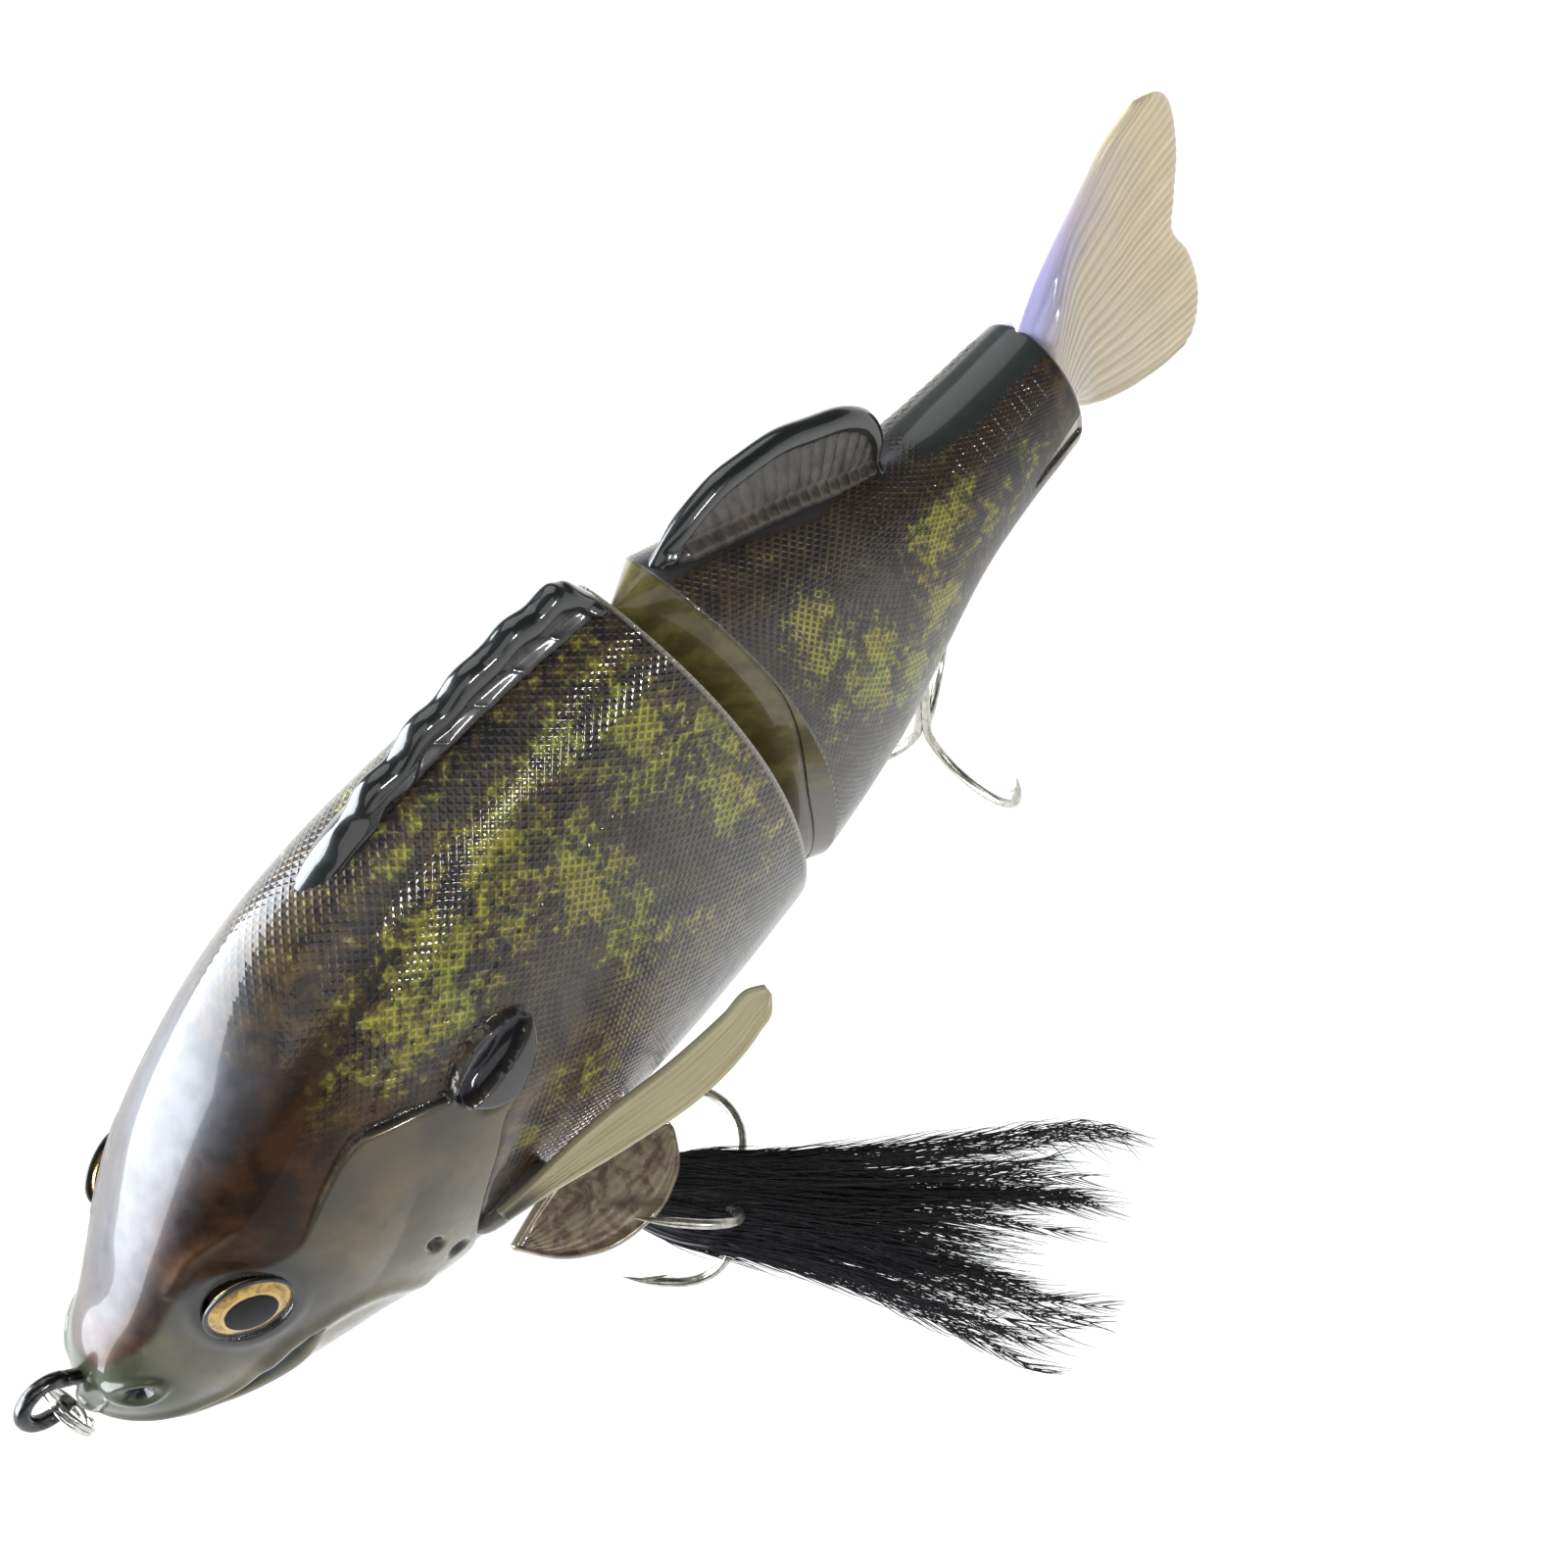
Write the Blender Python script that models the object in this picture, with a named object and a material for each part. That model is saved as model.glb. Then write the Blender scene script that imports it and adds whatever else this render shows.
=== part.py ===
"""Two-piece jointed panfish swimbait with soft tail, two treble hooks and a feathered front hook.

Positions are worked out in millimetres on the lure's own datum: x from the nose tip towards the
tail, y positive to the lure's right, z up.  place() turns them into metres with the origin at the
centre of the line-tie eye, which is what holds the lure up.  The head points along -X.
"""
import math

import bmesh
import bpy
import numpy as np
from mathutils import Matrix, Vector

# ---------------------------------------------------------------- driving dimensions (mm)
MM = 0.001
TIE_X = -1.8                    # centre of the line-tie eye, which is the origin
TIE_Z = 3.2
TIE_SHANK = (0.93, 0.0, -0.37)  # the eye's shank runs back and down into the nose
WALL = 1.8                      # moulded shell wall
SEAM = 0.15                     # half the gap between left and right shells
FIT = 0.35                      # working gap between neighbouring pieces

# x, top z, bottom z, half width of the two body sections
FRONT_PROFILE = (
    (0.0, 0.3, -3.3, 2.2),
    (3.0, 4.2, -8.2, 5.6),
    (8.0, 8.2, -12.6, 8.3),
    (14.0, 13.8, -15.8, 10.9),
    (20.0, 18.8, -18.3, 12.7),
    (30.0, 25.0, -23.0, 14.0),
    (40.0, 29.2, -26.8, 14.5),
    (50.0, 31.2, -29.3, 14.3),
    (62.0, 31.8, -31.0, 13.5),
    (75.0, 31.2, -31.6, 12.2),
    (85.0, 29.9, -31.0, 11.0),
)
REAR_PROFILE = (
    (90.3, 27.6, -28.6, 10.6),
    (98.0, 23.4, -25.2, 10.9),
    (106.0, 19.1, -21.1, 10.6),
    (114.0, 14.6, -15.6, 9.5),
    (122.0, 11.9, -10.9, 8.4),
    (131.0, 10.9, -8.6, 7.5),
    (139.5, 10.8, -7.8, 6.9),
)
# crest height of the moulded dorsal ridges above the back
SPINY_DORSAL = ((45.0, 0.0), (50.0, 1.6), (58.0, 3.0), (68.0, 4.4), (76.0, 4.9), (82.0, 5.0), (84.0, 3.4))
SOFT_DORSAL = ((90.3, 0.0), (94.0, 2.6), (100.0, 7.2), (108.0, 10.4), (114.0, 10.6), (118.5, 8.6), (120.5, 0.0))
RIDGE_HALF = 1.1                # half thickness of a dorsal ridge

HINGE_X = 88.0                  # vertical hinge pin between the two sections
HINGE_EYE_Z = 12.6              # the two hinge eyes sit this far above and below the datum
PIN_RADIUS = 0.7
PIN_HALF_LENGTH = 21.4
SOCKET_X = 79.0                 # bottom of the vee in the front section
WEDGE_X = 84.0                  # nose of the wedge on the rear section
FRONT_BULGE = 2.7               # how far each end face bows towards the tail at mid height
REAR_BULGE = 3.4

TAIL_X = 136.8                  # tail bead, which the tail swings about
TAIL_BEAD = 2.2
TAIL_SLOT_HALF = 1.75
TAIL_SLOT_Z = (-6.0, 6.4)

WIRE = 0.55                     # hook wire radius
RING_RADIUS = 2.6               # split ring, to the middle of its band
RING_WIRE = 0.45
HANGER_RADIUS = 1.9
HOOK_EYE_RADIUS = 1.6
FRONT_HANGER = (43.6, -30.2)    # x, z of the hanger loop
REAR_HANGER = (115.4, -17.6)
FRONT_HOOK_LINE = (0.60, -0.72, -0.35)     # the front hook lies back along the left of the belly
REAR_HOOK_LINE = (0.0, 0.23, -0.97)
FRONT_HOOK = {"length": 21.0, "gape": 12.4, "point": 12.0}
REAR_HOOK = {"length": 26.0, "gape": 14.4, "point": 14.4}
FEATHER_FLAT = (0.21, 0.49, -0.84)         # the feather fans out in the plane square to this

EYE_CENTRE = (17.5, 10.9, 6.4)
EYE_NORMAL = (-0.31, 0.945, 0.08)
EYE_RADIUS = 3.9


def place(point):
    """Datum millimetres to metres about the line-tie eye."""
    return Vector(((point[0] - TIE_X) * MM, point[1] * MM, (point[2] - TIE_Z) * MM))


def unit(vector):
    return np.array(vector, float) / np.linalg.norm(vector)


# ---------------------------------------------------------------- scene helpers
def clear_scene():
    for item in list(bpy.data.objects):
        bpy.data.objects.remove(item, do_unlink=True)


def material(name, colour, roughness, metallic=0.0, transmission=0.0):
    made = bpy.data.materials.new(name)
    made.use_nodes = True
    shader = made.node_tree.nodes["Principled BSDF"]
    shader.inputs["Base Color"].default_value = (*colour, 1.0)
    shader.inputs["Roughness"].default_value = roughness
    shader.inputs["Metallic"].default_value = metallic
    shader.inputs["Transmission Weight"].default_value = transmission
    return made


def empty(name, point):
    pivot = bpy.data.objects.new(name, None)
    pivot.location = place(point)
    pivot.empty_display_size = 0.004
    bpy.context.scene.collection.objects.link(pivot)
    return pivot


def mesh_object(name, points, faces, look=None, pivot=None):
    """A closed mesh from datum points, facing out, with its origin on its pivot."""
    base = pivot.location if pivot else Vector((0, 0, 0))
    mesh = bpy.data.meshes.new(name)
    mesh.from_pydata([place(p) - base for p in points], [], faces)
    work = bmesh.new()
    work.from_mesh(mesh)
    bmesh.ops.triangulate(work, faces=work.faces)
    bmesh.ops.recalc_face_normals(work, faces=work.faces)
    work.to_mesh(mesh)
    work.free()
    mesh.shade_smooth()
    mesh.set_sharp_from_angle(angle=math.radians(40))
    piece = bpy.data.objects.new(name, mesh)
    bpy.context.scene.collection.objects.link(piece)
    if look:
        mesh.materials.append(look)
    if pivot:
        piece.parent = pivot
    return piece


def as_guide(piece):
    """A cutter or a joined-in shape, which isn't a piece of its own."""
    piece.hide_render = True
    piece.display_type = "WIRE"
    return piece


def boolean(piece, other, operation):
    change = piece.modifiers.new(other.name, "BOOLEAN")
    change.operation = operation
    change.object = other
    change.solver = "EXACT"


# ---------------------------------------------------------------- shape helpers
def curve_value(table, column, x):
    """Smooth value of one column of a profile table at x."""
    rows = np.array(table, float)
    xs = rows[:, 0]
    ys = rows[:, column]
    x = float(np.clip(x, xs[0], xs[-1]))
    slopes = np.gradient(ys, xs)
    i = int(np.clip(np.searchsorted(xs, x) - 1, 0, len(xs) - 2))
    h = xs[i + 1] - xs[i]
    t = (x - xs[i]) / h
    return float((2 * t**3 - 3 * t**2 + 1) * ys[i] + (t**3 - 2 * t**2 + t) * h * slopes[i]
                 + (3 * t**2 - 2 * t**3) * ys[i + 1] + (t**3 - t**2) * h * slopes[i + 1])


def crest_height(table, x):
    rows = np.array(table, float)
    return float(np.interp(x, rows[:, 0], rows[:, 1], left=0.0, right=0.0))


def half_section(profile, crests, x, inset, bulge, count=11):
    """Points (x, y, z) of one half section, from the seam at the back round to the seam below."""
    top = curve_value(profile, 1, x) - inset
    bottom = curve_value(profile, 2, x) + inset
    half = curve_value(profile, 3, x) - inset
    middle = (top + bottom) / 2
    tall = (top - bottom) / 2
    start = math.asin(min(0.7, (RIDGE_HALF + 0.4) / half))
    ring = []
    if inset:
        ring += [(SEAM, top), (RIDGE_HALF * 0.5, top - 0.08), (RIDGE_HALF, top - 0.16)]
    else:
        crest = crest_height(crests, x)
        ring += [(SEAM, top + crest), (RIDGE_HALF * 0.7, top + crest - 0.08), (RIDGE_HALF, top + crest * 0.85 - 0.16)]
    for angle in np.linspace(start, math.pi - 0.10, count):
        power = 0.85 if angle > math.pi / 2 else 1.0
        ring.append((half * math.sin(angle) ** power, middle + tall * math.cos(angle)))
    ring.append((SEAM, bottom))
    return [(x + bulge * (1 - ((z - middle) / tall) ** 2 if abs(z - middle) < tall else 0.0), y, z)
            for y, z in ring]


def shell_faces(stations, count, cap, vee):
    """Faces of a half shell: outer grid, inner grid, and the seam strip that joins them.

    Row `cap` is closed across by a flat end.  Row `vee` lies on the seam, where a vee's faces meet.
    """
    faces = []
    inner = stations * count

    def at(layer, i, j):
        return layer + i * count + j

    for layer in (0, inner):
        for i in range(stations - 1):
            for j in range(count - 1):
                faces.append((at(layer, i, j), at(layer, i, j + 1), at(layer, i + 1, j + 1), at(layer, i + 1, j)))
        faces.append(tuple(at(layer, cap, j) for j in range(count)))
    for i in range(stations - 1):
        for j in (0, count - 1):
            faces.append((at(0, i, j), at(0, i + 1, j), at(inner, i + 1, j), at(inner, i, j)))
    for j in range(count - 1):
        faces.append((at(0, vee, j), at(0, vee, j + 1), at(inner, vee, j + 1), at(inner, vee, j)))
    faces.append((at(0, cap, 0), at(0, cap, count - 1), at(inner, cap, count - 1), at(inner, cap, 0)))
    return faces


def vee_line(rim, x, shrink=0.97):
    """The upright line that the faces of a vee or a wedge meet on, point for point with its rim."""
    return [(x, SEAM, z * shrink) for _, _, z in rim]


def half_shell(name, side, outer, inner, vee_first, look):
    """One moulded half: outer and inner grids joined along the seam."""
    last = len(outer) - 1
    cap, vee = (last, 0) if vee_first else (0, last)
    points = [(x, y * side, z) for grid in (outer, inner) for ring in grid for x, y, z in ring]
    return mesh_object(name, points, shell_faces(len(outer), len(outer[0]), cap, vee), look)


def front_grids():
    last = FRONT_PROFILE[-1][0]
    xs = [0.0, 1.5, 3.5, 6.0, 9.0, 13.0, 18.0, 24.0, 31.0, 39.0, 48.0, 58.0, 68.0, 77.0, 82.0, last]
    outer = []
    inner = []
    for x in xs:
        bow = FRONT_BULGE * max(0.0, (x - 66.0) / (last - 66.0)) ** 2
        outer.append(half_section(FRONT_PROFILE, SPINY_DORSAL, x, 0.0, bow))
        inner_x = 2.4 + x * (last - 7.0 - 2.4) / last
        inner.append(half_section(FRONT_PROFILE, SPINY_DORSAL, inner_x, WALL, bow))
    outer.append(vee_line(outer[-1], SOCKET_X))
    inner.append(vee_line(inner[-1], SOCKET_X - 2.3))
    return outer, inner


def rear_grids():
    first = REAR_PROFILE[0][0]
    last = REAR_PROFILE[-1][0]
    xs = [first, 92.0, 95.0, 99.0, 104.0, 109.0, 114.0, 118.4, 120.6, 126.0, 132.0, 137.0, last]
    outer = []
    inner = []
    for x in xs:
        bow = REAR_BULGE * max(0.0, (106.0 - x) / (106.0 - first)) ** 2
        outer.append(half_section(REAR_PROFILE, SOFT_DORSAL, x, 0.0, bow))
        inner_x = first + 1.2 + (x - first) * (last - first - 3.0) / (last - first)
        inner.append(half_section(REAR_PROFILE, SOFT_DORSAL, inner_x, WALL, bow))
    outer.insert(0, vee_line(outer[0], WEDGE_X))
    inner.insert(0, vee_line(inner[0], WEDGE_X + 2.3))
    return outer, inner


def tube_frames(path, closed):
    """Tangent and two steady cross directions at each point of a path."""
    path = np.array(path, float)
    if closed:
        tangents = np.roll(path, -1, 0) - np.roll(path, 1, 0)
    else:
        tangents = np.gradient(path, axis=0)
    tangents /= np.linalg.norm(tangents, axis=1)[:, None]
    guide = np.array((0.0, 0.0, 1.0)) if abs(tangents[0][2]) < 0.8 else np.array((1.0, 0.0, 0.0))
    frames = []
    for tangent in tangents:
        across = guide - tangent * guide.dot(tangent)
        across /= np.linalg.norm(across)
        guide = across
        frames.append((across, np.cross(tangent, across)))
    return path, frames


def tube(name, path, radius, look=None, pivot=None, sides=6, closed=False):
    """A round wire swept along a path.  radius is one number or one for each point."""
    path, frames = tube_frames(path, closed)
    radii = np.broadcast_to(radius, len(path))
    points = []
    for centre, (across, up), r in zip(path, frames, radii):
        for k in range(sides):
            turn = 2 * math.pi * k / sides
            points.append(tuple(centre + r * (math.cos(turn) * across + math.sin(turn) * up)))
    faces = []
    spans = len(path) if closed else len(path) - 1
    for i in range(spans):
        a = i * sides
        b = ((i + 1) % len(path)) * sides
        for k in range(sides):
            n = (k + 1) % sides
            faces.append((a + k, a + n, b + n, b + k))
    if not closed:
        faces.append(tuple(range(sides)))
        faces.append(tuple(range((len(path) - 1) * sides, len(path) * sides)))
    return mesh_object(name, points, faces, look, pivot)


def circle(centre, first, second, radius, start, end, count):
    """Points on an arc that turns from the first direction towards the second."""
    return [np.array(centre) + radius * (math.cos(a) * first + math.sin(a) * second)
            for a in np.linspace(start, end, count)]


def closed_circle(centre, first, second, radius, count):
    return circle(centre, first, second, radius, 0.0, 2 * math.pi, count + 1)[:-1]


def wire_eye(name, centre, toward, side, loop, wire, shank, look):
    """A bent wire eye: a shank that comes in along `toward` and turns into a nearly closed loop."""
    toward = unit(toward)
    side = unit(side)
    path = [np.array(centre) + toward * shank, np.array(centre) + toward * (loop * 1.75)]
    path += circle(centre, toward, side, loop, math.radians(34), math.radians(308), 12)
    return tube(name, path, wire, look)


def rod(name, start, end, radius, look=None, pivot=None, sides=12):
    return tube(name, [start, end], radius, look, pivot, sides)


def turned(name, centre, axis, profile, look=None, pivot=None, sides=20):
    """A solid of revolution: profile rows are (distance along the axis, radius), ends included."""
    axis = unit(axis)
    guide = np.array((0.0, 0.0, 1.0)) if abs(axis[2]) < 0.8 else np.array((1.0, 0.0, 0.0))
    across = unit(np.cross(guide, axis))
    up = np.cross(axis, across)
    points = []
    for along, radius in profile:
        base = np.array(centre) + axis * along
        points += [tuple(p) for p in closed_circle(base, across, up, radius, sides)]
    rows = len(profile)
    faces = [(i * sides + k, i * sides + (k + 1) % sides, (i + 1) * sides + (k + 1) % sides, (i + 1) * sides + k)
             for i in range(rows - 1) for k in range(sides)]
    faces.append(tuple(range(sides)))
    faces.append(tuple(range((rows - 1) * sides, rows * sides)))
    return mesh_object(name, points, faces, look, pivot)


def sleeve(name, centre, axis, inner, outer, length, look, pivot=None, sides=16):
    """A short tube with an open bore."""
    axis = unit(axis)
    across = unit(np.cross((0.0, 0.0, 1.0), axis))
    up = np.cross(axis, across)
    points = []
    for along, radius in ((0, inner), (0, outer), (length, outer), (length, inner)):
        base = np.array(centre) + axis * along
        points += [tuple(p) for p in closed_circle(base, across, up, radius, sides)]
    faces = [(i * sides + k, i * sides + (k + 1) % sides,
              ((i + 1) % 4) * sides + (k + 1) % sides, ((i + 1) % 4) * sides + k)
             for i in range(4) for k in range(sides)]
    return mesh_object(name, points, faces, look, pivot)


def box(name, low, high):
    points = [(x, y, z) for x in (low[0], high[0]) for y in (low[1], high[1]) for z in (low[2], high[2])]
    faces = [(0, 1, 3, 2), (4, 6, 7, 5), (0, 4, 5, 1), (2, 3, 7, 6), (0, 2, 6, 4), (1, 5, 7, 3)]
    return as_guide(mesh_object(name, points, faces))


def blade(name, root, along, down, outline, thick, thin, look, pivot=None):
    """A flat fin: an outline in (along, down) with its thickness falling from root to tip."""
    along = unit(along)
    down = unit(np.array(down) - along * np.dot(down, along))
    normal = np.cross(along, down)
    reach = max(u for u, _ in outline)
    points = []
    for side in (-0.5, 0.5):
        for u, v in outline:
            t = side * (thick + (thin - thick) * max(0.0, u) / reach)
            points.append(tuple(np.array(root) + along * u + down * v + normal * t))
    n = len(outline)
    faces = [tuple(range(n)), tuple(range(n, 2 * n))]
    faces += [(k, (k + 1) % n, n + (k + 1) % n, n + k) for k in range(n)]
    return mesh_object(name, points, faces, look, pivot)


# ---------------------------------------------------------------- body shells
def hook_wire_holes():
    """Bores through the seam for the wires that stand out of the body."""
    cuts = {"front": [], "rear": []}
    tie = np.array((TIE_X, 0.0, TIE_Z))
    shank = unit(TIE_SHANK)
    nose = as_guide(rod("nose_bore", tie + shank * 0.5, tie + shank * 15.0, 0.8 + FIT))
    pocket = as_guide(turned("nose_relief", (TIE_X, -1.3, TIE_Z), (0, 1, 0), ((0, 3.9), (2.6, 3.9))))
    cuts["front"] += [nose, pocket]
    for name, (x, z), section in (("front", FRONT_HANGER, "front"), ("rear", REAR_HANGER, "rear")):
        bore = as_guide(rod(name + "_hanger_bore", (x, 0, z - 1.0), (x, 0, z + 9.0), WIRE + FIT))
        relief = as_guide(turned(name + "_hanger_relief", (x, -1.0, z), (0, 1, 0), ((0, 3.0), (2.0, 3.0))))
        cuts[section] += [bore, relief]
    for z in (-HINGE_EYE_Z, HINGE_EYE_Z):
        cuts["front"].append(as_guide(rod("hinge_bore", (70.0, 0, z), (84.0, 0, z), PIN_RADIUS + FIT)))
        cuts["rear"].append(box("hinge_slot", (80.0, -7.4, z - 1.5), (92.2, 7.4, z + 1.5)))
    low, high = TAIL_SLOT_Z
    slot = box("tail_slot", (TAIL_X, -TAIL_SLOT_HALF, low), (145.0, TAIL_SLOT_HALF, high))
    socket = as_guide(rod("tail_bead_socket", (TAIL_X, 0, low + 0.1), (TAIL_X, 0, high - 0.1), TAIL_BEAD + FIT,
                          None, None, 16))
    cuts["rear"] += [slot, socket]
    return cuts


def eye_frame(side):
    centre = np.array((EYE_CENTRE[0], EYE_CENTRE[1] * side, EYE_CENTRE[2]))
    normal = unit((EYE_NORMAL[0], EYE_NORMAL[1] * side, EYE_NORMAL[2]))
    return centre, normal


def pectoral_root(side):
    return np.array((39.0, 13.9 * side, -10.6))


def pelvic_root(side):
    return np.array((36.5, 9.6 * side, -24.6))


def body_shells():
    looks = {
        "front": material("front_shell", (0.16, 0.13, 0.05), 0.12),
        "rear": material("rear_shell", (0.17, 0.14, 0.06), 0.12),
    }
    cuts = hook_wire_holes()
    grids = {"front": (front_grids(), False), "rear": (rear_grids(), True)}
    hinge = empty("body_hinge", (HINGE_X, 0, 0))
    for section, ((outer, inner), vee_first) in grids.items():
        for word, side in (("left", -1), ("right", 1)):
            shell = half_shell(f"{section}_shell_{word}", side, outer, inner, vee_first, looks[section])
            for cutter in cuts[section]:
                boolean(shell, cutter, "DIFFERENCE")
            if section == "front":
                for cutter in side_cutters(word, side):
                    boolean(shell, cutter, "DIFFERENCE")
            else:
                shell.parent = hinge
                shell.matrix_parent_inverse = Matrix.Translation(-hinge.location)
    return hinge


def side_cutters(word, side):
    centre, normal = eye_frame(side)
    eye = turned(f"eye_socket_{word}", centre - normal * 5.0, normal, ((0, EYE_RADIUS + FIT), (9.0, EYE_RADIUS + FIT)))
    pectoral = rod(f"pectoral_bore_{word}", pectoral_root(side) + (0.8, -4.0 * side, 0),
                   pectoral_root(side) + (0.8, 4.0 * side, 0), 1.1 + FIT)
    pelvic = rod(f"pelvic_bore_{word}", pelvic_root(side) + (5.0, -2.5 * side, 4.0),
                 pelvic_root(side) + (5.0, 1.0 * side, -1.6), 1.0 + FIT)
    return [as_guide(cutter) for cutter in (eye, pectoral, pelvic)]


# ---------------------------------------------------------------- eyes
def eyes():
    gold = material("eye_foil", (0.62, 0.42, 0.10), 0.25, 0.7)
    black = material("eye_pupil", (0.01, 0.01, 0.01), 0.3)
    clear = material("eye_lens", (0.95, 0.95, 0.9), 0.03, 0.0, 1.0)
    for word, side in (("left", -1), ("right", 1)):
        centre, normal = eye_frame(side)
        turned(f"eye_iris_{word}", centre - normal * 1.6, normal, ((0, EYE_RADIUS), (0.7, EYE_RADIUS)), gold)
        turned(f"eye_pupil_{word}", centre - normal * 0.6, normal, ((0, 1.9), (0.35, 1.9)), black)
        dome = [(EYE_RADIUS * math.sin(a) * 0.33, EYE_RADIUS * math.cos(a))
                for a in np.linspace(0, math.radians(82), 5)]
        turned(f"eye_lens_{word}", centre + normal * 0.05, normal, [(0, EYE_RADIUS - 0.05)] + dome[1:], clear)


# ---------------------------------------------------------------- fins
def side_fins():
    satin = material("pectoral_fin", (0.62, 0.56, 0.36), 0.45)
    gloss = material("pelvic_fin", (0.27, 0.19, 0.08), 0.2)
    for word, side in (("left", -1), ("right", 1)):
        outline = [(1.6, -0.9), (11.0, -1.2), (23.5, -1.6), (29.0, -2.2), (32.4, -2.9), (34.0, -2.5), (33.6, -1.2),
                   (30.8, 1.0), (27.5, 2.2), (22.5, 2.9), (13.4, 2.4), (1.6, 1.0)]
        root = pectoral_root(side)
        fin = blade(f"pectoral_fin_{word}", root + (0, 0.7 * side, 0), (0.97, 0.22 * side, 0.05),
                    (0, 0.7 * side, -0.7), outline, 1.5, 0.8, satin)
        peg = as_guide(rod(f"pectoral_peg_{word}", root + (0.8, -3.4 * side, 0), root + (0.8, 0.9 * side, 0), 1.1))
        arm = as_guide(rod(f"pectoral_arm_{word}", root + (0.8, 0.5 * side, 0), root + (3.6, 1.6 * side, 0), 0.75))
        boolean(fin, peg, "UNION")
        boolean(fin, arm, "UNION")
        outline = [(0.0, 0.6), (2.3, 3.9), (6.6, 7.2), (12.0, 8.5), (17.1, 7.7), (21.2, 4.3), (21.8, 2.4),
                   (20.4, 1.3), (12.0, 1.5), (5.0, 0.9)]
        root = pelvic_root(side)
        fin = blade(f"pelvic_fin_{word}", root + (0, 0.2 * side, -0.8), (0.98, 0.0, -0.20), (0, 0.78 * side, -0.62),
                    outline, 1.4, 1.0, gloss)
        peg = as_guide(rod(f"pelvic_peg_{word}", root + (5.0, -1.9 * side, 3.0), root + (5.0, 0.5 * side, -2.6), 1.0))
        boolean(fin, peg, "UNION")


# ---------------------------------------------------------------- hinge and weights
def hinge_hardware(hinge):
    steel = material("hinge_eye_upper", (0.55, 0.55, 0.53), 0.3, 1.0)
    for word, z in (("upper", HINGE_EYE_Z), ("lower", -HINGE_EYE_Z)):
        wire_eye(f"hinge_eye_{word}", (HINGE_X, 0, z), (-1, 0, 0), (0, 1, 0), 1.95, 0.7, 16.0, steel)
    pin_look = material("hinge_pin", (0.6, 0.6, 0.6), 0.25, 1.0)
    rod("hinge_pin", (HINGE_X, 0, -PIN_HALF_LENGTH - 0.8), (HINGE_X, 0, PIN_HALF_LENGTH), PIN_RADIUS, pin_look,
        hinge, 10)


def ballast(hinge):
    lead = material("front_ballast_weight", (0.25, 0.25, 0.26), 0.6, 1.0)
    turned("front_ballast_weight", (49.5, 0, -22.0), (1, 0, 0),
           ((0, 2.6), (1.2, 3.6), (14.8, 3.6), (16.0, 2.6)), lead, None, 14)
    turned("rear_ballast_weight", (97.5, 0, -16.5), (1, 0, -0.0),
           ((0, 1.8), (0.8, 2.4), (7.2, 2.4), (8.0, 1.8)), lead, hinge, 12)


# ---------------------------------------------------------------- tail
def tail(hinge):
    pearl = material("tail_fin", (0.80, 0.74, 0.58), 0.35)
    pivot = empty("tail_flex", (TAIL_X, 0, 0))
    low, high = TAIL_SLOT_Z
    outline = [(0.0, low + 0.9), (6.0, low + 0.6), (9.6, -9.4), (15.0, -12.6), (21.6, -15.0), (26.0, -16.0),
               (29.2, -14.6), (30.3, -9.3), (29.2, -2.9), (27.0, 2.6), (28.0, 7.3), (29.1, 13.4), (29.0, 19.7),
               (27.2, 23.2), (23.1, 24.8), (18.2, 23.0), (13.8, 20.2), (8.4, 15.6), (5.4, 10.4),
               (4.4, high - 0.6), (0.0, high - 0.9)]
    fin = blade("tail_fin", (TAIL_X, 0, 0), (1, 0, 0), (0, 0, 1), outline, 1.7, 1.1, pearl, pivot)
    bead = as_guide(rod("tail_bead", (TAIL_X, 0, low + 0.8), (TAIL_X, 0, high - 0.8), TAIL_BEAD, None, None, 14))
    boolean(fin, bead, "UNION")
    pivot.parent = hinge
    pivot.matrix_parent_inverse = Matrix.Translation(-hinge.location)


# ---------------------------------------------------------------- line tie, rings and hooks
def prong_path(hook, base, line, outward, stagger):
    """One arm of a treble: down the shank, round the bend and back up to the point.

    The stagger keeps the three arms' shank ends off one plane, so that they join cleanly.
    """
    reach = hook["gape"]
    length = hook["length"]
    bend = reach / 2
    shank = length - bend
    path = [base + line * (along - stagger) + outward * 0.5
            for along in (HOOK_EYE_RADIUS, shank * 0.55, shank - 1.5)]
    centre = base + line * (shank + 0.4) + outward * (bend + 0.5)
    path += circle(centre, -outward, line, bend, 0.25, math.pi - 0.05, 9)
    path.append(path[-1] - line * (hook["point"] - bend) * 0.55 + outward * 0.2)
    path.append(path[-1] - line * (hook["point"] - bend) * 0.45 - outward * 0.3)
    return path


def hook_directions(line, roll):
    """Three outward directions round a hook line, the first one turned by roll from the left side."""
    side = np.array((0.0, -1.0, 0.0)) - line * -line[1]
    side /= np.linalg.norm(side)
    other = np.cross(line, side)
    return [math.cos(a) * side + math.sin(a) * other
            for a in (roll + k * 2 * math.pi / 3 for k in range(3))]


def hang(hanger, line):
    """The chain below a hanger loop: the ring's lean, its pivot and centre, and the hook eye's pivot and centre."""
    lean = unit((0.0, line[1], line[2]))
    clear = WIRE + FIT + RING_WIRE
    pivot = np.array((hanger[0], 0.0, hanger[1] - HANGER_RADIUS))
    ring = pivot + lean * (RING_RADIUS - clear)
    far = pivot + lean * (2 * RING_RADIUS - clear)
    return lean, pivot, ring, far, far + line * (HOOK_EYE_RADIUS - clear)


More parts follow.
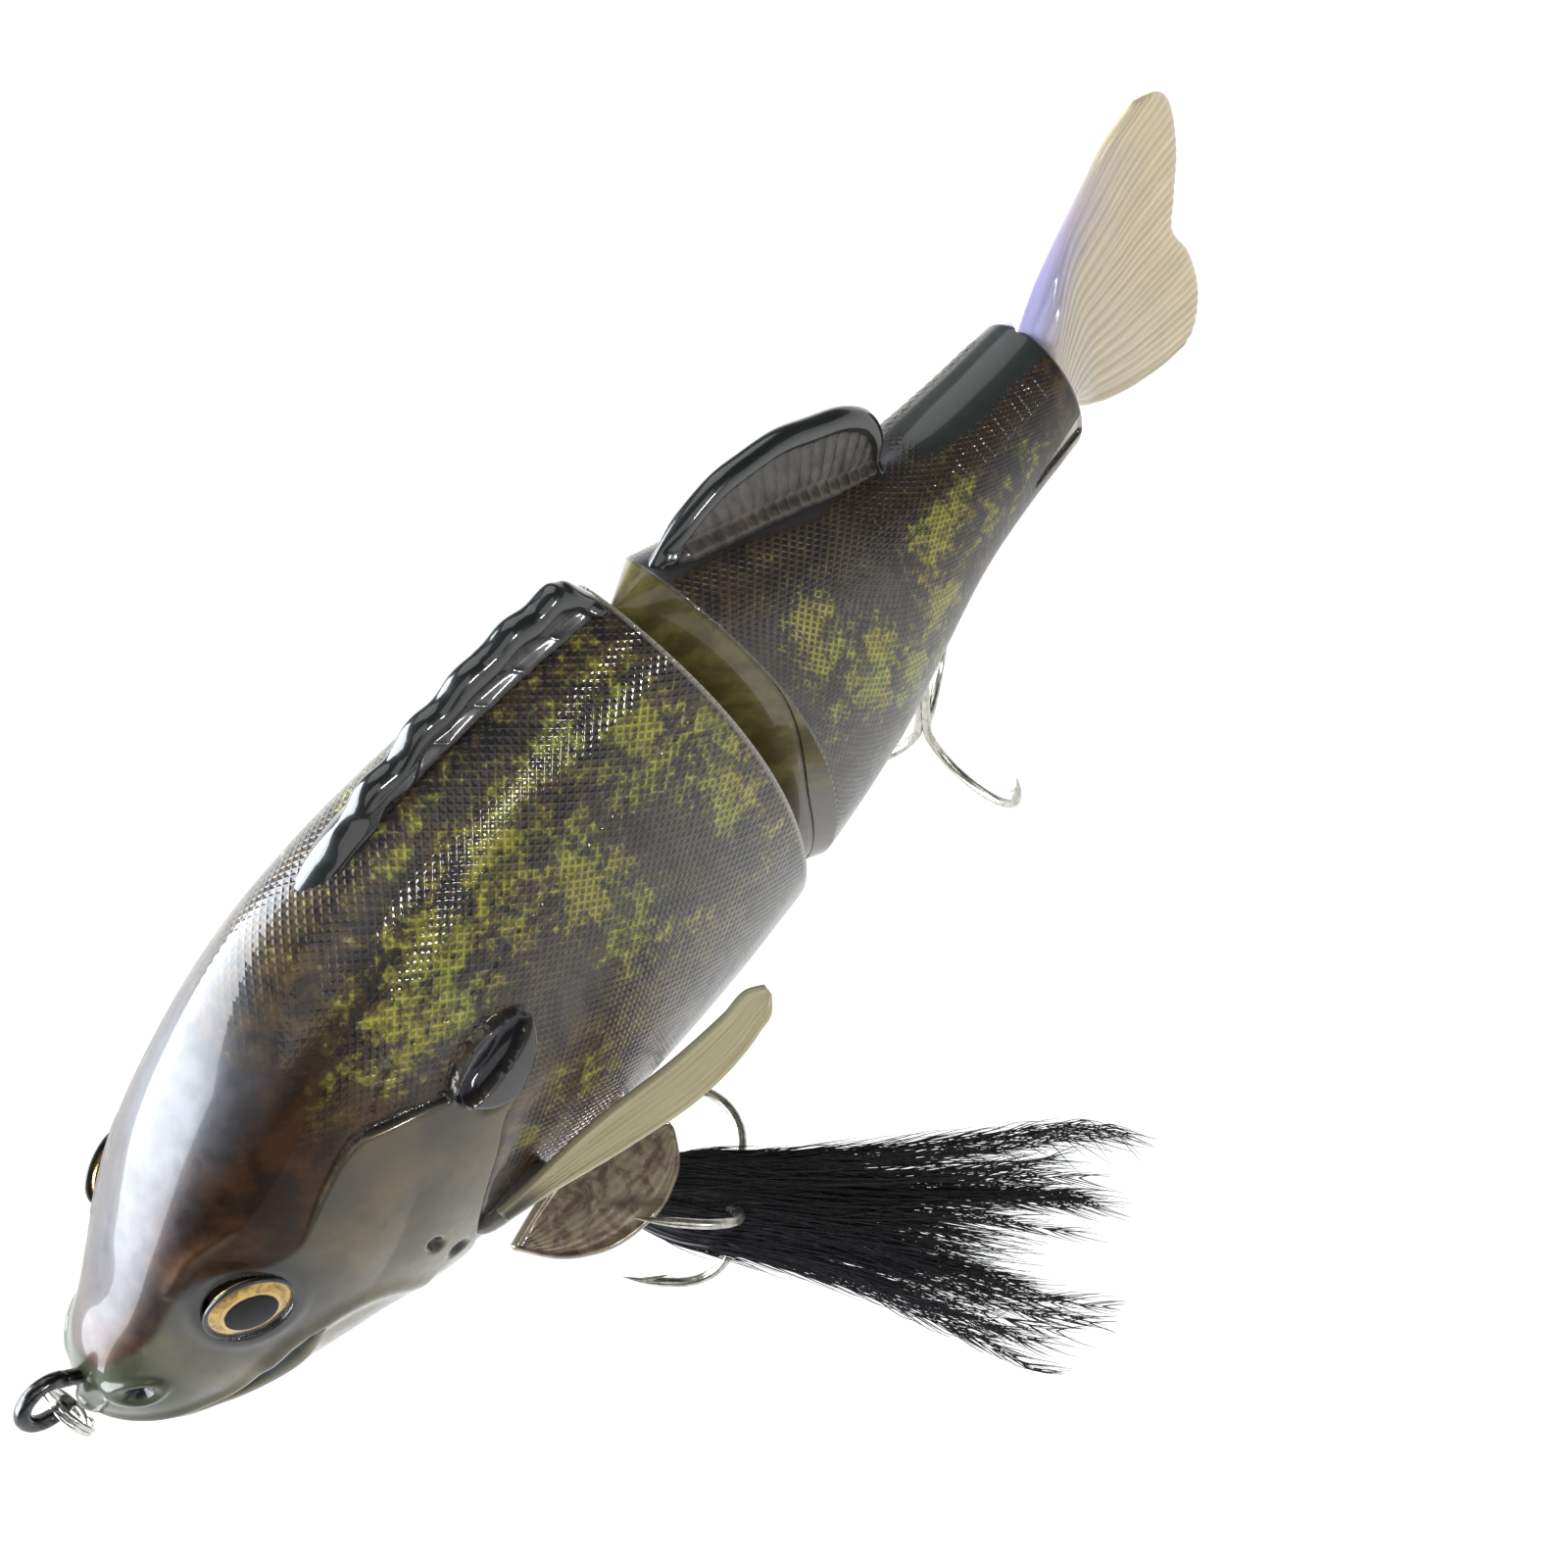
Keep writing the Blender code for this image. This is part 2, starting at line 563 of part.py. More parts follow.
def treble(name, hook, hanger, line, roll, looks, parent=None):
    """Split ring and treble hook on one hanger, each on an empty at its own joint."""
    line = unit(line)
    lean, hang_point, ring_centre, far, base = hang(hanger, line)
    sideways = np.cross((1.0, 0.0, 0.0), lean)
    swivel = empty(name + "_ring_swing", hang_point)
    tube(name + "_split_ring", closed_circle(ring_centre, lean, sideways, RING_RADIUS, 20), RING_WIRE,
         looks["ring"], swivel, 6, True)
    pivot = empty(name + "_hook_swing", far)
    arms = [prong_path(hook, base, line, outward, 0.17 * k)
            for k, outward in enumerate(hook_directions(line, roll))]
    radii = [WIRE] * (len(arms[0]) - 2) + [WIRE * 0.85, 0.12]
    body = tube(name + "_treble_hook", arms[0], radii, looks["hook"], pivot)
    for k in (1, 2):
        boolean(body, as_guide(tube(f"{name}_prong_{k}", arms[k], radii)), "UNION")
    crossing = np.cross(line, sideways)
    eye = as_guide(tube(name + "_hook_eye", closed_circle(base, line, crossing, HOOK_EYE_RADIUS, 16), WIRE,
                        None, None, 6, True))
    boolean(body, eye, "UNION")
    if parent:
        for item in (swivel, pivot):
            item.parent = parent
            item.matrix_parent_inverse = Matrix.Translation(-parent.location)
    return base, line, arms, pivot


def dressing(base, line, arms, pivot):
    """Thread wrap and feather bundle tied on the front hook's shank."""
    thread = material("feather_thread_wrap", (0.01, 0.01, 0.012), 0.5)
    feather = material("feather_dressing", (0.012, 0.012, 0.015), 0.6)
    sleeve("feather_thread_wrap", base + line * 7.0, line, 1.75, 2.5, 4.6, thread, pivot)
    fall = np.array((0.0, 0.0, -1.0))
    sideways = unit(np.array(FEATHER_FLAT) - line * np.dot(FEATHER_FLAT, line))
    rows = ((12.0, 2.7, 2.7), (16.0, 4.4, 4.2), (24.0, 5.6, 4.6), (34.0, 8.2, 4.4), (46.0, 11.5, 4.0),
            (58.0, 14.0, 3.2), (66.0, 12.0, 1.6))
    sides = 14
    points = []
    for along, tall, wide in rows:
        droop = 0.0022 * (along - 12.0) ** 2
        centre = base + line * along + fall * droop
        tangent = unit(line + fall * 0.0044 * (along - 12.0))
        up = unit(np.cross(sideways, tangent))
        points += [tuple(p) for p in
                   (centre + up * tall * math.cos(a) + sideways * wide * math.sin(a)
                    for a in np.linspace(0, 2 * math.pi, sides, endpoint=False))]
    faces = [(i * sides + k, i * sides + (k + 1) % sides, (i + 1) * sides + (k + 1) % sides, (i + 1) * sides + k)
             for i in range(len(rows) - 1) for k in range(sides)]
    faces += [tuple(range(sides)), tuple(range((len(rows) - 1) * sides, len(rows) * sides))]
    bundle = mesh_object("feather_dressing", points, faces, feather, pivot)
    for k, arm in enumerate(arms):
        boolean(bundle, as_guide(tube(f"feather_gap_{k}", arm, WIRE + 0.4)), "DIFFERENCE")


def line_tie():
    steel = material("line_tie_eye", (0.18, 0.18, 0.18), 0.25, 1.0)
    ring = material("line_tie_split_ring", (0.75, 0.75, 0.74), 0.2, 1.0)
    across = (-TIE_SHANK[2], 0.0, TIE_SHANK[0])
    wire_eye("line_tie_eye", (TIE_X, 0, TIE_Z), TIE_SHANK, across, 2.6, 0.8, 12.0, steel)
    wire_point = np.array((TIE_X, 0, TIE_Z - 2.6))
    pivot = empty("line_tie_ring_swing", wire_point)
    fall = np.array((0.0, 0.0, -1.0))
    centre = wire_point + fall * (2.9 - 0.8 - FIT - 0.6)
    tube("line_tie_split_ring", closed_circle(centre, fall, np.array((0.0, 1.0, 0.0)), 2.9, 20), 0.6,
         ring, pivot, 6, True)


def hangers():
    steel = material("front_hook_hanger", (0.6, 0.6, 0.58), 0.3, 1.0)
    for name, (x, z) in (("front", FRONT_HANGER), ("rear", REAR_HANGER)):
        wire_eye(f"{name}_hook_hanger", (x, 0, z), (0, 0, 1), (1, 0, 0), HANGER_RADIUS, WIRE, 8.5, steel)


def hooks(hinge):
    looks = {
        "ring": material("front_split_ring", (0.75, 0.75, 0.74), 0.2, 1.0),
        "hook": material("front_treble_hook", (0.62, 0.61, 0.57), 0.3, 1.0),
    }
    front = treble("front", FRONT_HOOK, FRONT_HANGER, FRONT_HOOK_LINE, math.radians(-38), looks)
    dressing(*front)
    treble("rear", REAR_HOOK, REAR_HANGER, REAR_HOOK_LINE, 0.0, looks, hinge)


def build():
    clear_scene()
    hinge = body_shells()
    eyes()
    side_fins()
    hinge_hardware(hinge)
    ballast(hinge)
    tail(hinge)
    line_tie()
    hangers()
    hooks(hinge)


build()
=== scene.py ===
"""Looks for the jointed panfish swimbait: painted skins, fins, eyes, hooks and feather.

Shapes are worked out in millimetres on the lure's own datum: x from the nose tip to the tail, y to
the lure's right, z up.  The row frame is the same, moved so that the line-tie eye is its origin.
"""

import math

import bmesh
import bpy
import numpy as np
from mathutils import Matrix, Vector


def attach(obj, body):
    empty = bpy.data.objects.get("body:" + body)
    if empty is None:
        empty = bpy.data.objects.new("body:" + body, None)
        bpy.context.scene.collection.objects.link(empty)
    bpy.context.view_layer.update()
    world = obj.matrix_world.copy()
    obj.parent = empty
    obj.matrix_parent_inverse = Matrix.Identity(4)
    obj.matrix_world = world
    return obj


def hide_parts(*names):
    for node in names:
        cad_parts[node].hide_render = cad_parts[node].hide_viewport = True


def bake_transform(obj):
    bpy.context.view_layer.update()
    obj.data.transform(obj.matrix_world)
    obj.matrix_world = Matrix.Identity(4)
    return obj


MM = 0.001
SHIFT = np.array((1.8, 0.0, -3.2))      # datum to row frame, mm

# x, top z, bottom z, half width
FRONT_PROFILE = (
    (0.0, 0.3, -3.3, 2.2), (3.0, 4.2, -8.2, 5.6), (8.0, 8.2, -12.6, 8.3),
    (14.0, 13.8, -15.8, 10.9), (20.0, 18.8, -18.3, 12.7), (30.0, 25.0, -23.0, 14.0),
    (40.0, 29.2, -26.8, 14.5), (50.0, 31.2, -29.3, 14.3), (62.0, 31.8, -31.0, 13.5),
    (75.0, 31.2, -31.6, 12.2), (85.0, 29.9, -31.0, 11.0),
)
REAR_PROFILE = (
    (90.3, 27.6, -28.6, 10.6), (98.0, 23.4, -25.2, 10.9), (106.0, 19.1, -21.1, 10.6),
    (114.0, 14.6, -15.6, 9.5), (122.0, 11.9, -10.9, 8.4), (131.0, 10.9, -8.6, 7.5),
    (139.5, 10.8, -7.8, 6.9),
)
SIDES = (("left", -1), ("right", 1))    # word and the sign of y
FRONT_END = 85.0
REAR_START = 90.3
REAR_END = 139.5
FRONT_BULGE = 2.7
REAR_BULGE = 3.4
SOCKET_X = 79.0
WEDGE_X = 84.0
TAIL_X = 136.8
SCALE_PITCH = 1.05                      # diamond scales
SCALE_RELIEF = 0.05

TIE_CENTRE = np.array((-1.8, 0.0, 3.2))
TIE_SHANK = np.array((0.93, 0.0, -0.37))
TIE_RADIUS = 2.6
TIE_WIRE = 0.8
TIE_RING_RADIUS = 2.9
TIE_RING_BAND = 0.58
WIRE = 0.55
RING_RADIUS = 2.6
RING_BAND = 0.45
HANGER_RADIUS = 1.9
HOOK_EYE_RADIUS = 1.6
GAP = 0.35
FRONT_HANGER = (43.6, -30.2)
REAR_HANGER = (115.4, -17.6)
FRONT_LINE = (0.60, -0.72, -0.35)
REAR_LINE = (0.0, 0.23, -0.97)
FRONT_HOOK = (21.0, 12.4, 12.0)         # length, gape, point
REAR_HOOK = (26.0, 14.4, 14.4)
FRONT_ROLL = -38.0
FEATHER_FLAT = (0.21, 0.49, -0.84)      # the feather fans out square to this
EYE_CENTRE = (17.5, 10.9, 6.4)
EYE_NORMAL = (-0.31, 0.945, 0.08)
RIM_RADIUS = 4.15                       # black edge of the eye socket

FEATHER_ROOT = 7.4                      # where the quills leave the thread, from the hook's eye
QUILLS = 46
BARBS = 40                              # on each side of a quill
FIBRES = 1300
# along the hook, half height, half width
FEATHER_ROWS = ((6.5, 2.1, 2.1), (9.5, 4.2, 3.6), (14.0, 6.4, 4.8), (24.0, 7.4, 4.9), (34.0, 8.8, 4.4),
                (46.0, 11.8, 4.0), (58.0, 14.6, 3.2), (66.0, 14.0, 2.2))

CAMERA_PLACE = (0.04471, -0.11740, 0.18025)
CAMERA_FORWARD = (0.2095, 0.4923, -0.8448)
CAMERA_UP = (0.7133, 0.5140, 0.4764)
FOCAL_LENGTH = 49.54
FLOOR_HEIGHT = -0.105
FLOOR_HALF = 3.0


# ---------------------------------------------------------------- numbers
def unit(vector):
    return np.array(vector, float) / np.linalg.norm(vector)


def smooth(value, low, high):
    """From 0 at low to 1 at high, levelling off at both ends."""
    t = np.clip((np.asarray(value, float) - low) / (high - low), 0.0, 1.0)
    return t * t * (3 - 2 * t)


def fade(value, low, high):
    return 1 - smooth(value, low, high)


def bell(value):
    """One at zero, falling off smoothly on both sides."""
    return np.exp(-value ** 2)


def rounded(value):
    """A quarter circle from 0 to 1: how far a rounded rim has opened."""
    return np.sqrt(np.clip(1 - (1 - np.clip(value, 0, 1)) ** 2, 0, 1))


def curve(table, column, x):
    """Smooth values of one column of a profile table."""
    rows = np.array(table, float)
    xs = rows[:, 0]
    ys = rows[:, column]
    x = np.clip(x, xs[0], xs[-1])
    slopes = np.gradient(ys, xs)
    i = np.clip(np.searchsorted(xs, x) - 1, 0, len(xs) - 2)
    h = xs[i + 1] - xs[i]
    t = (x - xs[i]) / h
    return ((2 * t**3 - 3 * t**2 + 1) * ys[i] + (t**3 - 2 * t**2 + t) * h * slopes[i]
            + (3 * t**2 - 2 * t**3) * ys[i + 1] + (t**3 - t**2) * h * slopes[i + 1])


def spline(points, count, closed=False):
    """Evenly stepped points on a smooth curve through the given ones."""
    points = np.array(points, float)
    if closed:
        points = np.vstack((points[-2:], points, points[:3]))
    else:
        points = np.vstack((2 * points[0] - points[1], points, 2 * points[-1] - points[-2]))
    spans = len(points) - 3
    first = 1 if closed else 0
    last = spans - 1 if closed else spans
    out = []
    for s in np.linspace(first, last, 8 * (last - first) + 1):
        i = min(int(s), spans - 1)
        t = s - i
        a, b, c, d = points[i:i + 4]
        out.append(0.5 * (2 * b + (c - a) * t + (2 * a - 5 * b + 4 * c - d) * t**2
                          + (3 * b - a - 3 * c + d) * t**3))
    out = np.array(out)
    reach = np.concatenate(([0.0], np.cumsum(np.linalg.norm(np.diff(out, axis=0), axis=1))))
    steps = np.linspace(0.0, reach[-1], count)
    return np.stack([np.interp(steps, reach, out[:, k]) for k in range(out.shape[1])], 1)


def off_axis(points, centre, axis):
    """How far points are from the line through centre."""
    offset = points - centre
    return np.linalg.norm(offset - (offset @ axis)[..., None] * axis, axis=-1)


def line_distance(x, z, points):
    """Distance to the nearest stretch of an open line."""
    best = np.full(np.shape(x), 1e9)
    for (x0, z0), (x1, z1) in zip(points[:-1], points[1:]):
        dx = x1 - x0
        dz = z1 - z0
        t = np.clip(((x - x0) * dx + (z - z0) * dz) / (dx * dx + dz * dz + 1e-12), 0.0, 1.0)
        best = np.minimum(best, np.hypot(x - x0 - t * dx, z - z0 - t * dz))
    return best


def depth_inside(x, z, outline):
    """Distance to a closed outline, positive inside it."""
    ring = np.vstack((outline, outline[:1]))
    odd = np.zeros(np.shape(x), bool)
    for (x0, z0), (x1, z1) in zip(ring[:-1], ring[1:]):
        if z0 != z1:
            odd ^= ((z0 > z) != (z1 > z)) & (x < (x1 - x0) * (z - z0) / (z1 - z0) + x0)
    gap = line_distance(x, z, ring)
    return np.where(odd, gap, -gap)


def blobs(x, z, rows):
    """Soft patches: centre x, centre z, radii, strength."""
    total = np.zeros(np.shape(x))
    for cx, cz, rx, rz, strength in rows:
        total = np.maximum(total, strength * np.exp(-((x - cx) / rx) ** 2 - ((z - cz) / rz) ** 2))
    return total


def wobble(x, z, size, seed):
    """Cheap smooth variation from a few sines."""
    return (np.sin(x / size + 1.7 * seed) * np.cos(z / size * 1.3 + 0.9 * seed)
            + 0.6 * np.sin((x + z) / size * 1.9 + seed)
            + 0.4 * np.cos((x - 1.4 * z) / size * 2.7 - seed)) / 2.0


# ---------------------------------------------------------------- mesh building
def add_piece(name, shape, look, body, replaced=(), sharp=None, fields=None, weld=True):
    """A piece from (points, faces) on the datum, with its float fields, facing out if it is welded."""
    points, faces = shape
    points = (np.asarray(points) + SHIFT) * MM
    mesh = bpy.data.meshes.new(name)
    mesh.from_pydata(points.tolist(), [], [[int(k) for k in face] for face in faces])
    for key, values in (fields or {}).items():
        kind, part = ("FLOAT_VECTOR", "vector") if np.ndim(values) == 2 else ("FLOAT", "value")
        layer = mesh.attributes.new(key, kind, "POINT")
        layer.data.foreach_set(part, np.asarray(values, np.float32).ravel())
    if weld:
        work = bmesh.new()
        work.from_mesh(mesh)
        bmesh.ops.remove_doubles(work, verts=work.verts, dist=2e-6)
        bmesh.ops.dissolve_degenerate(work, edges=work.edges, dist=1e-7)
        bmesh.ops.recalc_face_normals(work, faces=work.faces)
        work.to_mesh(mesh)
        work.free()
    mesh.shade_smooth()
    if sharp:
        mesh.set_sharp_from_angle(angle=math.radians(sharp))
    piece = bpy.data.objects.new(name, mesh)
    bpy.context.scene.collection.objects.link(piece)
    mesh.materials.append(look)
    if body:
        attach(piece, body)
    if replaced:
        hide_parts(*replaced)
    return piece


def grid_faces(rows, columns, closed=False):
    wide = columns if closed else columns - 1
    i, j = np.meshgrid(np.arange(rows - 1), np.arange(wide), indexing="ij")
    a = i * columns + j
    b = i * columns + (j + 1) % columns
    return np.stack((a, b, b + columns, a + columns), -1).reshape(-1, 4)


def joined(parts):
    """Several (points, faces) as one."""
    points = []
    faces = []
    start = 0
    for part_points, part_faces in parts:
        points.append(np.asarray(part_points, float))
        faces += [[int(k) + start for k in face] for face in part_faces]
        start += len(part_points)
    return np.vstack(points), faces


def frames_along(path, closed=False):
    path = np.array(path, float)
    tangents = np.roll(path, -1, 0) - np.roll(path, 1, 0) if closed else np.gradient(path, axis=0)
    tangents /= np.linalg.norm(tangents, axis=1)[:, None]
    guide = np.array((0.0, 0.0, 1.0)) if abs(tangents[0][2]) < 0.8 else np.array((1.0, 0.0, 0.0))
    across = []
    for tangent in tangents:
        guide = guide - tangent * guide.dot(tangent)
        guide /= np.linalg.norm(guide)
        across.append(guide)
    across = np.array(across)
    return path, across, np.cross(tangents, across)


def tube(path, radius, sides=14, closed=False):
    """(points, faces) of a round wire."""
    path, across, up = frames_along(path, closed)
    radii = np.broadcast_to(radius, len(path))[:, None, None]
    turn = np.linspace(0, 2 * np.pi, sides, endpoint=False)
    ring = (np.cos(turn)[None, :, None] * across[:, None, :]
            + np.sin(turn)[None, :, None] * up[:, None, :])
    points = (path[:, None, :] + radii * ring).reshape(-1, 3)
    rows = len(path)
    if closed:
        faces = [list(f) for f in grid_faces(rows + 1, sides, True) % (rows * sides)]
    else:
        faces = [list(f) for f in grid_faces(rows, sides, True)]
        faces.append(list(range(sides)))
        faces.append(list(range((rows - 1) * sides, rows * sides)))
    return points, faces


def turned(centre, axis, profile, sides=72):
    """(points, faces) of a solid of revolution from (along, radius) rows."""
    axis = unit(axis)
    guide = np.array((0.0, 0.0, 1.0)) if abs(axis[2]) < 0.8 else np.array((1.0, 0.0, 0.0))
    across = unit(np.cross(guide, axis))
    up = np.cross(axis, across)
    turn = np.linspace(0, 2 * np.pi, sides, endpoint=False)
    ring = np.cos(turn)[:, None] * across + np.sin(turn)[:, None] * up
    points = np.vstack([np.array(centre) + axis * a + ring * max(r, 1e-4) for a, r in profile])
    return points, [list(f) for f in grid_faces(len(profile), sides, True)]


def plate(middle, half, normal):
    """(points, faces) of a closed plate from its mid surface and its half thickness, zero at its rim."""
    rows, columns = half.shape
    upper = middle + half[..., None] * normal
    lower = middle - half[..., None] * normal
    points = np.vstack((upper.reshape(-1, 3), lower.reshape(-1, 3)))
    faces = grid_faces(rows, columns)
    return points, np.vstack((faces, faces[:, ::-1] + rows * columns))


def both_faces(shape, **fields):
    """Fields of a plate's two faces from those of its mid surface."""
    flat = {}
    for key, values in fields.items():
        full = np.broadcast_to(values, shape + np.shape(values)[2:])
        flat[key] = np.concatenate((full, full)).reshape(-1, *full.shape[2:])
    return flat


# ---------------------------------------------------------------- material building
class Look:
    """A procedural material.  Lengths are millimetres."""

    def __init__(self, name, roughness=0.4, metallic=0.0, coat=0.0, coat_roughness=0.03, **values):
        self.made = bpy.data.materials.new(name)
        self.made.use_nodes = True
        self.tree = self.made.node_tree
        self.shader = self.tree.nodes["Principled BSDF"]
        for key, value in {"Roughness": roughness, "Metallic": metallic, "Coat Weight": coat,
                           "Coat Roughness": coat_roughness, **values}.items():
            self.shader.inputs[key].default_value = value
        self.place = self.node("ShaderNodeTexCoord").outputs["Object"]

    def node(self, kind, **settings):
        made = self.tree.nodes.new(kind)
        for key, value in settings.items():
            setattr(made, key, value)
        return made

    def put(self, socket, value):
        if isinstance(value, bpy.types.NodeSocket):
            self.tree.links.new(value, socket)
        elif isinstance(value, (tuple, list)) and socket.type == "RGBA":
            socket.default_value = (*value[:3], 1.0)
        else:
            socket.default_value = value

    def field(self, name):
        return self.node("ShaderNodeAttribute", attribute_name=name).outputs["Fac"]

    def vector(self, name):
        return self.node("ShaderNodeAttribute", attribute_name=name).outputs["Vector"]

    def stretched(self, stretch, source=None):
        made = self.node("ShaderNodeMapping")
        self.put(made.inputs["Vector"], source or self.place)
        made.inputs["Scale"].default_value = stretch
        return made.outputs["Vector"]

    def noise(self, size, detail=3.0, rough=0.55, stretch=(1, 1, 1), source=None, warp=0.0):
        made = self.node("ShaderNodeTexNoise")
        per = 1.0 if source else 1.0 / MM
        self.put(made.inputs["Vector"], self.stretched(tuple(s * per / size for s in stretch), source))
        made.inputs["Scale"].default_value = 1.0
        made.inputs["Detail"].default_value = detail
        made.inputs["Roughness"].default_value = rough
        made.inputs["Distortion"].default_value = warp
        return made.outputs["Fac"]

    def cells(self, size, stretch=(1, 1, 1), output="Distance"):
        made = self.node("ShaderNodeTexVoronoi")
        self.put(made.inputs["Vector"], self.stretched(tuple(s / size / MM for s in stretch)))
        made.inputs["Scale"].default_value = 1.0
        return made.outputs[output]

    def math(self, operation, a, b=0.0):
        made = self.node("ShaderNodeMath", operation=operation)
        self.put(made.inputs[0], a)
        self.put(made.inputs[1], b)
        return made.outputs[0]

    def step(self, value, low, high, out_low=0.0, out_high=1.0):
        made = self.node("ShaderNodeMapRange", interpolation_type="SMOOTHSTEP")
        self.put(made.inputs["Value"], value)
        limits = {"From Min": low, "From Max": high, "To Min": out_low, "To Max": out_high}
        for key, number in limits.items():
            self.put(made.inputs[key], number)
        return made.outputs["Result"]

    def mix(self, factor, a, b, blend="MIX"):
        made = self.node("ShaderNodeMix", data_type="RGBA", blend_type=blend)
        self.put(made.inputs[0], factor)
        self.put(made.inputs[6], a)
        self.put(made.inputs[7], b)
        return made.outputs[2]

    def times(self, first, *factors):
        for factor in factors:
            first = self.math("MULTIPLY", first, factor)
        return first

    def mottle(self, value, low, high, dark, bright):
        """Two tones, one where the value is under low and the other where it is over high."""
        return self.mix(self.step(value, low, high), dark, bright)

    def paint(self, colour, *layers):
        """The colour covered by flat tones, each where its field says."""
        for name, tone in layers:
            colour = self.mix(self.field(name), colour, tone)
        return colour

    def axis(self, index, source=None):
        made = self.node("ShaderNodeSeparateXYZ")
        self.put(made.inputs[0], source or self.place)
        return made.outputs[index]

    def bump(self, height, distance, strength=1.0, below=None):
        made = self.node("ShaderNodeBump")
        made.inputs["Distance"].default_value = distance * MM
        made.inputs["Strength"].default_value = strength
        self.put(made.inputs["Height"], height)
        if below:
            self.put(made.inputs["Normal"], below)
        return made.outputs["Normal"]

    def set(self, **links):
        names = {"colour": "Base Color", "rough": "Roughness", "metal": "Metallic", "normal": "Normal",
                 "coat_normal": "Coat Normal"}
        for key, value in links.items():
            self.put(self.shader.inputs[names[key]], value)
        return self.made


def scale_cells(look):
    """Diamond scales in the skin's own millimetres: height, the spot in the middle, a value for each."""
    skin = look.vector("skin")
    along = look.axis(0, skin)
    around = look.axis(1, skin)
    sums = [look.math("DIVIDE", look.math(operation, along, around), SCALE_PITCH)
            for operation in ("ADD", "SUBTRACT")]
    spots = [look.math("ABSOLUTE", look.math("SUBTRACT", look.math("FRACT", total), 0.5))
             for total in sums]
    middle = look.math("MAXIMUM", *spots)
    cell = look.node("ShaderNodeCombineXYZ")
    for k in (0, 1):
        look.put(cell.inputs[k], look.math("FLOOR", sums[k]))
    chance = look.node("ShaderNodeTexWhiteNoise")
    look.put(chance.inputs["Vector"], cell.outputs[0])
    height = look.step(middle, 0.1, 0.5, 1.0, 0.0)
    spot = look.step(middle, 0.22, 0.38, 1.0, 0.0)
    return height, spot, chance.outputs["Value"]


